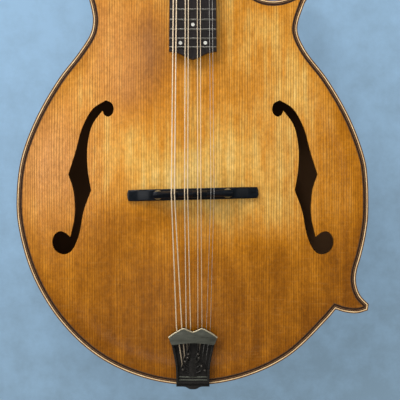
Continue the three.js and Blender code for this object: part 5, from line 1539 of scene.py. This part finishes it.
def tail_plate():
    """A side profile run across and kept where it lies in the outline, with a rail along each side."""
    bend = np.linspace(0, math.pi / 2, 9)
    corner = np.array([HANGER_FACE + BEND_RADIUS, PLATE_HIGH - BEND_RADIUS])
    outside = corner + BEND_RADIUS * np.column_stack([-np.cos(bend), np.sin(bend)])
    end = TAIL_LENGTH + OVERRUN
    side = np.vstack([
        (HANGER_FACE, -HANGER_DROP), (HANGER_INNER, -HANGER_DROP), (HANGER_INNER, EDGE_THICKNESS + SEAM),
        (BEND_LENGTH, PLATE_Z), (end, PLATE_Z), (end, PLATE_HIGH), outside[::-1],
    ])
    strip = placed(prism(side, -TAIL_HALF - OVERRUN, TAIL_HALF + OVERRUN), ACROSS)
    outline = whole_outline(np.vstack([TAIL_SIDE, CROWN_PLAN[1:]]))
    bent = carved(strip, [prism(outline, -HANGER_DROP - OVERRUN, PLATE_HIGH + OVERRUN)], "INTERSECT")
    line = TAIL_SIDE[TAIL_SIDE[:, 1] > 4]
    rail = np.vstack([line, (line - [RAIL_WIDTH, 0])[::-1]])
    rails = [bevelled(prism(r, PLATE_Z + 0.5, RAIL_TOP), 0.4, 2, 50) for r in (rail, mirrored(rail))]
    return joined([bent, *rails])


def tail_crown():
    """A block of the crown's plan, less the room for the strings and a mouth that curves by one less a square."""
    reach = TAIL_HALF + OVERRUN
    arch = np.linspace(-1, 1, 25)
    mouth = np.column_stack([reach * arch, MOUTH_FROM_TAIL + MOUTH_CURVE * (1 - arch**2)])
    open_end = prism(np.vstack([mouth, [(reach, 0), (-reach, 0)]]), PLATE_HIGH, 30)
    room = block((-ROOM_HALF, 0, PLATE_HIGH), (ROOM_HALF, TAIL_LENGTH + 4, CROWN_LOW))
    whole = prism(whole_outline(CROWN_PLAN), PLATE_Z + 0.5, CROWN_LOW + CROWN_THICKNESS)
    return bevelled(carved(whole, [open_end, room]), 0.35, 2, 60)


def tail_lip():
    """A bar across the bend, whose front swells by one less a square and by a bell curve in the middle."""
    x = np.linspace(0.2 - HANGER_HALF, HANGER_HALF - 0.2, 41)
    swell = 1.1 * (1 - (x / HANGER_HALF) ** 2) + 2.2 * np.exp(-((x / 5.6) ** 4))
    front = np.column_stack([x, HANGER_FACE + 1.2 - swell])
    lip = np.vstack([np.column_stack([x, 0 * x + 0.6]), front[::-1]])
    return bevelled(prism(lip, PLATE_HIGH - 5.4, PLATE_HIGH - 1.6), 1.2, 4, 50)


def tail_hollow():
    """A thin floor, a raised panel down its middle, and branches that bow up as half a sine."""
    panel = prism(whole_outline(spline(PANEL_RIGHT, 40)), PLATE_HIGH - 0.2, PLATE_HIGH + 1.3)
    sides = TAIL_SIDE[TAIL_SIDE[:, 1] > 6] - [RAIL_WIDTH - 0.2, 0]
    floor = whole_outline(np.vstack([sides, (ROOM_HALF, 43), (0, 43)]))
    rise = np.linspace(0, 1, 8)
    height = PLATE_HIGH + 0.5 + 0.5 * np.sin(np.pi * rise)
    arms = []
    for side in (-1, 1):
        for (x, y), (end_x, end_y) in zip(BRANCHES, BRANCH_ENDS):
            path = np.column_stack([side * mix(x, end_x, rise), mix(y, end_y, rise), height])
            arms.append(tube(path, mix(0.9, 0.6, rise), 10))
    return joined([bevelled(panel, 0.6, 2, 40), prism(floor, PLATE_HIGH - 0.1, PLATE_HIGH + 0.25), *arms])


def tail_hooks():
    """Pegs that lean back by the square of their height, and swell as half a sine into a round head."""
    rise = np.linspace(0, 1, 12)
    radius = 0.85 + 0.45 * np.sin(np.pi * np.clip((rise - 0.7) / 0.3, 0, 1))
    height = mix(PLATE_HIGH - 0.2, HOOK_Z + 2.0, rise)
    paths = [np.column_stack([x + 0 * rise, y - 0.5 - 1.5 * rise**2, height]) for x, y in HOOKS]
    return joined([tube(path, radius, 12, upright=True) for path in paths])


def make_tailpiece(look):
    """A bent plate with what is cast on it: a crown over the strings with a bead along its edge, ridges, a lip and
    the hooks. Three screws hold it.
    """
    piece("bent_tailpiece_plate", tail_plate(), "bronze_dark", stands_for="tailpiece", crease=35)
    piece("tailpiece_crown", tail_crown(), "bronze", crease=35)
    ends = np.array([1 - HANGER_HALF, HANGER_HALF - 1])
    ridges = [tube([(x, y, PLATE_HIGH + 0.1) for x in ends], BEAD_RADIUS, 14) for y in RIDGES]
    piece("tailpiece_ridges", joined(ridges), "bronze")
    rim = both_halves(CROWN_EDGE - [0, BEAD_RADIUS])
    height = CROWN_LOW + CROWN_THICKNESS - 0.35
    bead = tube(np.column_stack([rim, np.full(len(rim), height)]), BEAD_RADIUS, 10)
    # The bead's pale gold is a painted highlight along the crown's edge
    piece("bright_crown_edge", bead, "bronze_bright")
    piece("tailpiece_lip", tail_lip(), "bronze_dark")
    piece("tailpiece_hollow", tail_hollow(), "bronze_dark", crease=35)
    piece("string_hooks", tail_hooks(), "bronze_worn")
    head = placed(dome_screw(3.2, 1.6), Matrix.Rotation(math.pi / 2, 4, "X"))
    for k, (x, z) in enumerate(HANGER_SCREWS, 1):
        screw = shifted(head, x * HANGER_HALF, HANGER_FACE, z * HANGER_DROP)
        piece(f"round_head_screw_{k}", screw, "nickel", stands_for=f"tailpiece_screw_{k}")


# ---- tuning machines

PLATE_TOP = -HEAD_THICKNESS - SEAM
PLATE_LOW = PLATE_TOP - 1.5
GEAR_RADIUS = 5.4
GEAR_ROOT = 4.3
GEAR_THICKNESS = 2.8
GEAR_TEETH = 14
WORM_RADIUS = 2.6
WORM_LENGTH = 9
SHAFT_RADIUS = 1.5
WORM_OFFSET = GEAR_RADIUS + WORM_RADIUS + 0.35
WORM_Z = PLATE_LOW - 0.35 - WORM_RADIUS
GEAR_TOP = WORM_Z + GEAR_THICKNESS / 2
KNOB_START = 35
KNOB_LENGTH = 13
KNOB_HALF = 7
KNOB_THICKNESS = 4.5
KNOB_SHARES = [(0, 0.42), (0.2, 0.62), (0.45, 0.9), (0.7, 1), (0.9, 0.92), (1, 0.7)]
STRIP_HALF = 8.6
STRIP_END = 12  # past the first post and the last worm
EAR_RADIUS = 2.6
EAR_HALF = 0.8
ALONG_X = Matrix.Rotation(math.pi / 2, 4, "Y")
UPSIDE_DOWN = Matrix.Rotation(math.pi, 4, "X")


def knob_shape():
    """Rings of a rounded square across x: its half width follows a smooth line through the shares, and both ends close
    in a rounded edge.
    """
    shares = spline(np.array(KNOB_SHARES), 28)
    close = np.sqrt(np.clip(1 - (np.abs(2 * shares[:, 0] - 1) ** 7) * 0.85, 0.05, 1))
    half = shares[:, 1] * KNOB_HALF * np.where(shares[:, 0] > 0.5, close, 1)
    thick = KNOB_THICKNESS / 2 * close
    turn = np.linspace(0, TAU, 28, endpoint=False)
    power = 2 / 2.7
    y = half[:, None] * np.sign(np.cos(turn)) * np.abs(np.cos(turn)) ** power
    z = thick[:, None] * np.sign(np.sin(turn)) * np.abs(np.sin(turn)) ** power
    x = KNOB_START + shares[:, :1] * KNOB_LENGTH + 0 * y
    return loft(np.stack([x, y, z], -1))


def gear_shape():
    """Teeth: the radius goes from root to tip and back over a quarter of a tooth's turn each."""
    turn = np.linspace(0, TAU, GEAR_TEETH * 12, endpoint=False)
    phase = (turn * GEAR_TEETH / TAU) % 1
    lift = np.clip(2.2 - 6 * np.abs(phase - 0.5), 0, 1)
    radius = mix(GEAR_ROOT, GEAR_RADIUS, lift)
    return prism(circle(turn, radius), GEAR_TOP - GEAR_THICKNESS, GEAR_TOP)


def post_shape():
    """A post that narrows where the string winds, with a hole through it and a domed top."""
    profile = [
        (0, GEAR_TOP - 0.5), (POST_RADIUS, GEAR_TOP - 0.5), (POST_RADIUS, 1.2), (2.7, 1.8), (2.55, 3), (2.55, 6),
        (2.7, 7), (POST_RADIUS, 7.6), (POST_RADIUS, POST_TOP - 0.9), (2.5, POST_TOP - 0.3), (1.6, POST_TOP),
        (0, POST_TOP),
    ]
    hole = placed(revolved([(0, -5), (0.7, -5), (0.7, 5), (0, 5)], 14), ALONG_X)
    return carved(revolved(profile, 36), [shifted(hole, z=5.4)])


def shaft_shape():
    """A thread and a turned shaft with a collar, both along x."""
    worm = threaded(WORM_RADIUS, 0.8, 2.4, -WORM_LENGTH / 2, WORM_LENGTH / 2, 24, 14)
    start = POST_ROW - WORM_LENGTH / 2 - 3
    profile = [
        (0, start), (SHAFT_RADIUS, start), (SHAFT_RADIUS, KNOB_START - 2.4), (2.3, KNOB_START - 1.8),
        (2.3, KNOB_START - 0.6), (1.8, KNOB_START), (1.4, KNOB_START + 1), (0, KNOB_START + 1),
    ]
    return joined([shifted(placed(worm, ALONG_X), POST_ROW), placed(revolved(profile, 20), ALONG_X)])


def ear_shape():
    """A flat with a half-round end, with a hole for the shaft."""
    turn = np.linspace(0, math.pi, 13)
    foot = PLATE_LOW - WORM_Z + 0.3
    end = circle(-turn, EAR_RADIUS) - [0, 0.5]
    flat = prism(np.vstack([end, [(-EAR_RADIUS, foot), (EAR_RADIUS, foot)]]), -EAR_HALF, EAR_HALF)
    bore = placed(upright_bore(0, 0, SHAFT_RADIUS + 0.1, -3, 3, 20), ALONG_X)
    return bevelled(carved(placed(flat, ACROSS), [bore]), 0.2, 1, 60)


def strip_shape(side):
    """A strip with drawn-in ends under a row of posts, with two ears for each worm and screws between them."""
    own = [y for row, _, y in TUNERS if row == side]
    middle = side * POST_ROW
    low, high = own[0] - STRIP_END, own[-1] + WORM_OFFSET + STRIP_END
    half = STRIP_HALF
    nose = np.array([(-half, 4), (3 - half, 1), (0, 0), (half - 3, 1), (half, 4)])
    outline = np.vstack([nose + [middle, low], nose[::-1] * [1, -1] + [middle, high]])
    shapes = [bevelled(prism(outline, PLATE_LOW, PLATE_TOP + 0.25), 0.35, 2, 50)]
    ear, head = ear_shape(), placed(dome_screw(1.7, 0.9), UPSIDE_DOWN)
    apart = WORM_LENGTH / 2 + EAR_HALF + 0.5
    for y in own:
        shapes += [shifted(ear, middle + x, y + WORM_OFFSET, WORM_Z) for x in (-apart, apart)]
    for y in (low + 4.2, *(y + 2 * WORM_OFFSET - 3.2 for y in own)):
        shapes.append(shifted(head, middle, min(y, high - 4.2), PLATE_LOW))
    return joined(shapes)


def make_tuners(look):
    """For each string a worm on its shaft with a knob and a post with its gear, and a strip for each row of four."""
    post, shaft, knob = post_shape(), shaft_shape(), knob_shape()
    under_gear = shifted(placed(dome_screw(2.2, 1.1), UPSIDE_DOWN), z=GEAR_TOP - GEAR_THICKNESS)
    gear = joined([gear_shape(), under_gear])
    for k, (side, x, y) in enumerate(TUNERS, 1):
        turn = Matrix.Rotation(0 if side > 0 else math.pi, 4, "Z")
        at = Matrix.Translation((0, y + WORM_OFFSET, WORM_Z)) @ turn
        parts = [
            ("worm_and_shaft", placed(shaft, at), "nickel", "tuner_knob", f"tuner_worm_{k}"),
            ("knob", placed(knob, at), "knob", "tuner_knob", ""),
            ("string_post", shifted(post, x, y), "nickel", "tuner_gear", f"tuner_post_{k}"),
            ("brass_gear", shifted(gear, x, y), "brass", "tuner_gear", ""),
        ]
        for name, shape, finish, body, node in parts:
            piece(f"{name}_{k}", shape, finish, f"{body}_{k}", node, HEAD_FRAME)
    for side, name in SIDES:
        node = f"tuner_plate_{name}"
        piece(f"tuner_strip_{name}", strip_shape(side), "nickel", "root", node, HEAD_FRAME, crease=35)


# ---- strings

LOOP_STEPS = 40
WINDING_TURNS = 2.2
WINDING_TOP = 5.6
WINDING_GAP = 0.6
HEAD_INVERSE = HEAD_FRAME.inverted()
# How far from the start of its loop each string is darker: less far on the first two
LOOP_DARK_REACH = (10, 10, 24, 28, 28, 28, 20, 20)
# How far each string is pulled sideways at the crown by the hook it lies on
EDGE_SHIFTS = (0.3, 1.1, 0.3, 0.3, 2.1, 2.1, 1.0, 1.0)


def string_parts(string, hook, shift):
    """The loop on its hook and the length to the saddle, the length to the nut, and the turns on the post."""
    radius = string["radius"]
    ring = PEG_RADIUS + 0.12 + radius
    half = math.acos(ring / EYE_REACH)
    hook_x, hook_y = hook
    saddle_y = -SADDLE_FROM_JOINT + string["saddle"] * math.tan(BRIDGE_TURN)
    saddle = moved((string["saddle"], saddle_y, STRING_RISE + radius + 0.05), NECK_FRAME)
    cad_hook = np.array(string["hook"])
    share = (CROWN_FRONT - cad_hook[1] - EYE_REACH) / (saddle[1] - cad_hook[1] - EYE_REACH)
    edge = np.array([mix(cad_hook[0], saddle[0], share) + shift, CROWN_FRONT, CROWN_LOW - 0.1 - radius])
    way = math.atan2(edge[1] - hook_y, edge[0] - hook_x)
    angle = np.linspace(way - half, way + half - TAU, LOOP_STEPS)
    loop = np.column_stack([circle(angle, ring) + hook, HOOK_Z + 0 * angle])
    apex = np.array([*(circle(way, EYE_REACH) + hook), HOOK_Z])
    tail = np.vstack(
        [mix(loop[:1], apex, 0.5), loop, apex, edge, mix(edge, saddle, np.linspace(0.02, 1, 40)[:, None])]
    )
    nut = moved((string["nut"], NUT_FROM_JOINT, NUT_STRING_HEIGHT + radius), NECK_FRAME)
    long = mix(saddle, nut, np.linspace(0, 1, 60)[:, None])
    off = moved((string["nut"], NUT_FROM_JOINT + NUT_LENGTH, NUT_STRING_HEIGHT + radius), NECK_FRAME)
    in_head = moved(off, HEAD_INVERSE)
    post = np.array(string["post"])
    turn = POST_RADIUS + 0.1 + radius
    away = in_head[:2] - post
    start = math.atan2(away[1], away[0]) - string["side"] * math.acos(turn / math.hypot(*away))
    n = np.linspace(0, WINDING_TURNS, 80)
    angle = start - string["side"] * n * TAU
    wind = np.column_stack([circle(angle, turn) + post, WINDING_TOP - n * (2 * radius + WINDING_GAP)])
    return tail, long, np.vstack([nut, off, moved(wind, HEAD_FRAME)])


def in_part_frame(point):
    """A point of the construction, in metres in the part's own frame."""
    return tuple((np.asarray(point) + ORIGIN) * MM)


def make_strings(look):
    """Each string is three round bars that stand for one CAD node: its loop and tail, the length that sounds, and the
    turns on its post.
    """
    sides = look.string_sides
    for k, (string, hook) in enumerate(zip(strings(), HOOKS)):
        radius, node = string["radius"], f"string_{k + 1}"
        finish = "wound" if radius > WOUND_RADIUS else "steel"
        tail, long, wind = string_parts(string, hook, EDGE_SHIFTS[k])
        # Two points on each of the first two: the point after the loop, and the ends
        parts = [
            ("tail", tail, (tail[LOOP_STEPS + 2], tail[-1])),
            ("speaking", long, (long[-1], long[0])),
            ("winding", wind, ()),
        ]
        for part, path, bend in parts:
            along = way_along(path)
            loop = ease(along, LOOP_DARK_REACH[k] + 8, LOOP_DARK_REACH[k]) if part == "tail" else 0 * along
            marks = {"along": np.repeat(along, sides), "loop": np.repeat(loop, sides)}
            body = "" if bend else "root"
            made = piece(f"{node}_{part}", tube(path, radius, sides), finish, body, node, marks=marks, crease=60)
            if bend:
                still, moving = map(in_part_frame, bend)
                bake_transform(made)
                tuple(still)
                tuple(moving)


# ---- stage

# Each lamp's place, its share of the power, and its width and length, in metres
LAMPS = [
    ("window_lamp", (-0.55, 1.0, 1.15), 0.64, (0.9, 0.8)), ("long_lamp", (-1.35, -0.2, 0.75), 0.21, (0.5, 1.8)),
    ("fill_lamp", (1.3, 0.1, 1.1), 0.11, (0.9, 1.6)), ("low_lamp", (-0.2, -1.05, 1.2), 0.04, (0.8, 0.5)),
]
LAMP_AIM = (0, -0.2, 0.05)
ROOM_COLOUR = (1.0, 0.98, 0.95, 1.0)
CEILING_SHARE = 0.12
# How fast the painted light on the sheet grows towards the window, per metre, and the share of its colour that is
# # its own light
FLOOR_SLOPE = (-0.75, 1.7, 0)
FLOOR_GLOW = 0.7
FLOOR_HALF = 3
FLOOR_CLOUD_MM = 28
SENSOR_WIDTH = 36
CAMERA_PLACE = (6.8, 178.4, 1300)


def painted_sheet(look):
    """Matt pale blue paint with soft clouds, and painted light that makes it lighter towards the window.
    A share of its colour is its own light, for the camera and in reflections, so that the shadow on it stays soft.
    """
    made, tree = blank_material("painted_sheet")
    clouds = in_steps_of(tree, (FLOOR_CLOUD_MM,) * 3)
    cloud = add(tree, NOISE, values={"Scale": 1.0, "Detail": 6.0, "Roughness": 0.7, "Vector": clouds})
    where = add(tree, "ShaderNodeTexCoord", out="Object")
    # Painted light: the paint grows lighter along this slope, towards the window
    slope = add(tree, VECTOR_MATH, {"operation": "DOT_PRODUCT"}, {0: where, 1: FLOOR_SLOPE}, "Value")
    level = add(tree, MATH, {"operation": "MULTIPLY_ADD"}, {0: cloud, 1: 1.1, 2: 0.407})
    level = add(tree, MATH, values={0: slope, 1: level})
    shades = {SHARE: level, ONE: linear(look.floor_shade), OTHER: linear(look.floor_tint)}
    paint = add(tree, MIX, BLEND, shades, MIXED)
    matt = {"IOR": 1.45, "Roughness": 0.8, "Base Color": paint}
    surface = add(tree, "ShaderNodeBsdfPrincipled", values=matt)
    rays = add(tree, "ShaderNodeLightPath").node.outputs
    seen = add(tree, MATH, {"operation": "MAXIMUM"}, {0: rays["Is Camera Ray"], 1: rays["Is Glossy Ray"]})
    seen = add(tree, MATH, {"operation": "MAXIMUM"}, {0: seen, 1: rays["Is Transmission Ray"]})
    share = add(tree, MATH, {"operation": "MULTIPLY"}, {0: seen, 1: FLOOR_GLOW})
    glow = add(tree, "ShaderNodeEmission", values={"Color": paint})
    both = add(tree, "ShaderNodeMixShader", values={0: share, 1: surface, 2: glow})
    add(tree, "ShaderNodeOutputMaterial", values={"Surface": both})
    return made


def make_stage(look):
    """A painted sheet under the instrument, a broad lamp beyond its headstock, three weaker ones round it, an even
    light from the room, and a camera straight above.
    """
    mesh = bpy.data.meshes.new("floor_sheet")
    corners = [(x * FLOOR_HALF, y * FLOOR_HALF, 0) for x, y in ((-1, -1), (1, -1), (1, 1), (-1, 1))]
    mesh.from_pydata(corners, [], [(0, 1, 2, 3)])
    mesh.materials.append(painted_sheet(look))
    linked("floor_sheet", mesh)
    world = bpy.data.worlds.new("soft_room")
    world.use_nodes = True
    tree = world.node_tree
    back = tree.nodes["Background"]
    back.inputs["Color"].default_value = ROOM_COLOUR
    # What shines from the varnish is dimmer than what lights it, as under a dark ceiling
    glossy = add(tree, "ShaderNodeLightPath", out="Is Glossy Ray")
    strengths = {"Value": glossy, "To Min": look.room_light, "To Max": look.room_light * CEILING_SHARE}
    tree.links.new(add(tree, RANGE, values=strengths), back.inputs["Strength"])
    bpy.context.scene.world = world
    for name, spot, share, size in LAMPS:
        lamp = bpy.data.lights.new(name, "AREA")
        lamp.energy = look.lamp_power * share
        lamp.shape = "RECTANGLE"
        lamp.size, lamp.size_y = size
        holder = linked(name, lamp)
        holder.location = spot
        holder.rotation_euler = (Vector(LAMP_AIM) - Vector(spot)).to_track_quat("-Z", "Y").to_euler()
    camera = bpy.data.cameras.new("overhead_camera")
    camera.sensor_width = SENSOR_WIDTH
    camera.lens = SENSOR_WIDTH / 2 / math.tan(look.view_angle / 2)
    holder = linked("overhead_camera", camera)
    holder.location = Vector(in_part_frame(CAMERA_PLACE))
    bpy.context.scene.camera = holder
    bpy.context.scene.view_settings.view_transform = "Standard"


# ---- add-on


def shade(name, description, code):
    """A property that holds a colour, given by its sRGB value."""
    return FloatVectorProperty(name=name, description=description, default=linear(code), size=4, subtype="COLOR")


class MandolinLook(bpy.types.PropertyGroup):
    """What a user would change."""

    plate_cell: FloatProperty(
        name="Plate cell", description="Size of a cell of the carved plates", default=3.0 * MM, unit="LENGTH"
    )
    grain_spacing: FloatProperty(
        name="Grain spacing", description="Width of one year of the spruce", default=2.4 * MM, unit="LENGTH"
    )
    string_sides: IntProperty(name="String sides", description="Sides of a round string", default=10, min=6, max=24)
    top_centre: shade("Top centre", "Amber varnish at the middle of the top", "#efca78")
    top_edge: shade("Top edge", "Brown varnish at the edge of the top", "#804a03")
    maple_tint: shade("Maple", "Lightest stain on the maple", "#b0662a")
    binding_tint: shade("Binding", "Clean celluloid", "#f2d2a0")
    binding_shade: shade("Binding shade", "Grimy celluloid", "#cda473")
    ebony_tint: shade("Ebony", "Darkest shade of the bridge", "#07090d")
    brass_tint: shade("Brass", "Darkest shade of the wheels and gears", "#95835a")
    floor_tint: shade("Floor", "Lightest paint on the sheet under the instrument", "#98bbd9")
    floor_shade: shade("Floor shade", "Darkest paint on the sheet", "#7c95a8")
    room_light: FloatProperty(
        name="Room light", description="Strength of the light from all round", default=0.52, min=0
    )
    lamp_power: FloatProperty(
        name="Lamp power", description="Power of all the lamps together", default=36.0, min=0, unit="POWER"
    )
    view_angle: FloatProperty(
        name="View angle", description="Camera's angle of view", default=math.radians(16.93), unit="ROTATION"
    )


def run(make, context):
    """Makes one group of pieces from what the user set."""
    make(context.scene.mandolin)
    return {"FINISHED"}


class MakeFinishes(bpy.types.Operator):
    """Mix the woods, metals and celluloids that the pieces wear."""

    bl_idname = "mandolin.finishes"
    bl_label = "Finishes"

    def execute(self, context):
        return run(make_finishes, context)


class BuildTop(bpy.types.Operator):
    """Carve the top with its f holes, and dress the tone bars."""

    bl_idname = "mandolin.top"
    bl_label = "Carved top"

    def execute(self, context):
        return run(make_top, context)


class BuildBack(bpy.types.Operator):
    """Carve the back with its heel tongue."""

    bl_idname = "mandolin.back"
    bl_label = "Carved back"

    def execute(self, context):
        return run(make_back, context)


class BuildBindings(bpy.types.Operator):
    """Bind both edges in cream celluloid and dark lines."""

    bl_idname = "mandolin.bindings"
    bl_label = "Bindings"

    def execute(self, context):
        return run(make_bindings, context)


class BuildRibs(bpy.types.Operator):
    """Bend the four ribs, and dress the blocks and linings."""

    bl_idname = "mandolin.ribs"
    bl_label = "Ribs"

    def execute(self, context):
        return run(make_ribs, context)


class BuildNeck(bpy.types.Operator):
    """Carve the neck, its heel and the wedge under the fretboard."""

    bl_idname = "mandolin.neck"
    bl_label = "Neck"

    def execute(self, context):
        return run(make_neck, context)


class BuildHeadstock(bpy.types.Operator):
    """Face the headstock, and add its cover and bushings."""

    bl_idname = "mandolin.headstock"
    bl_label = "Headstock"

    def execute(self, context):
        return run(make_headstock, context)


class BuildFretboard(bpy.types.Operator):
    """Lay the fretboard with its frets and dots."""

    bl_idname = "mandolin.fretboard"
    bl_label = "Fretboard"

    def execute(self, context):
        return run(make_fretboard, context)


class BuildNut(bpy.types.Operator):
    """Cut the nut with a slot for each string."""

    bl_idname = "mandolin.nut"
    bl_label = "Nut"

    def execute(self, context):
        return run(make_nut, context)


class BuildBridge(bpy.types.Operator):
    """Fit the bridge foot, its threaded posts and its wheels."""

    bl_idname = "mandolin.bridge"
    bl_label = "Bridge"

    def execute(self, context):
        return run(make_bridge, context)


class BuildSaddle(bpy.types.Operator):
    """Shape the saddle with its stepped crown."""

    bl_idname = "mandolin.saddle"
    bl_label = "Saddle"

    def execute(self, context):
        return run(make_saddle, context)


class BuildTailpiece(bpy.types.Operator):
    """Cast the tailpiece with its hooks, crown and screws."""

    bl_idname = "mandolin.tailpiece"
    bl_label = "Tailpiece"

    def execute(self, context):
        return run(make_tailpiece, context)


class BuildTuners(bpy.types.Operator):
    """Assemble the tuning machines on their two strips."""

    bl_idname = "mandolin.tuners"
    bl_label = "Tuning machines"

    def execute(self, context):
        return run(make_tuners, context)


class BuildStrings(bpy.types.Operator):
    """String the instrument from the hooks to the posts."""

    bl_idname = "mandolin.strings"
    bl_label = "Strings"

    def execute(self, context):
        return run(make_strings, context)


class SetStage(bpy.types.Operator):
    """Lay the floor, hang the lamps and aim the camera."""

    bl_idname = "mandolin.stage"
    bl_label = "Stage"

    def execute(self, context):
        return run(make_stage, context)


STEPS = [
    MakeFinishes, BuildTop, BuildBack, BuildBindings, BuildRibs, BuildNeck,
    BuildHeadstock, BuildFretboard, BuildNut, BuildBridge, BuildSaddle,
    BuildTailpiece, BuildTuners, BuildStrings, SetStage,
]


class MandolinPanel(bpy.types.Panel):
    """Lists the sizes and shades, and a button for each group of pieces."""

    bl_idname = "VIEW3D_PT_mandolin"
    bl_label = "Octave mandolin"
    bl_space_type = "VIEW_3D"
    bl_region_type = "UI"
    bl_category = "Mandolin"

    def draw(self, context):
        look = context.scene.mandolin
        for key in MandolinLook.__annotations__:
            self.layout.prop(look, key)
        for step in STEPS:
            self.layout.operator(step.bl_idname)


CLASSES = [MandolinLook, *STEPS, MandolinPanel]


def register():
    """Registers the classes, and gives the scene its sizes and shades."""
    for made in CLASSES:
        bpy.utils.register_class(made)
    bpy.types.Scene.mandolin = PointerProperty(type=MandolinLook)


def unregister():
    """Takes both away again."""
    del bpy.types.Scene.mandolin
    for made in reversed(CLASSES):
        bpy.utils.unregister_class(made)


def main():
    """Builds everything in order."""
    register()
    for step in STEPS:
        getattr(bpy.ops.mandolin, step.bl_idname.split(".")[1])()
    bpy.context.view_layer.update()


if __name__ == "__main__":
    main()
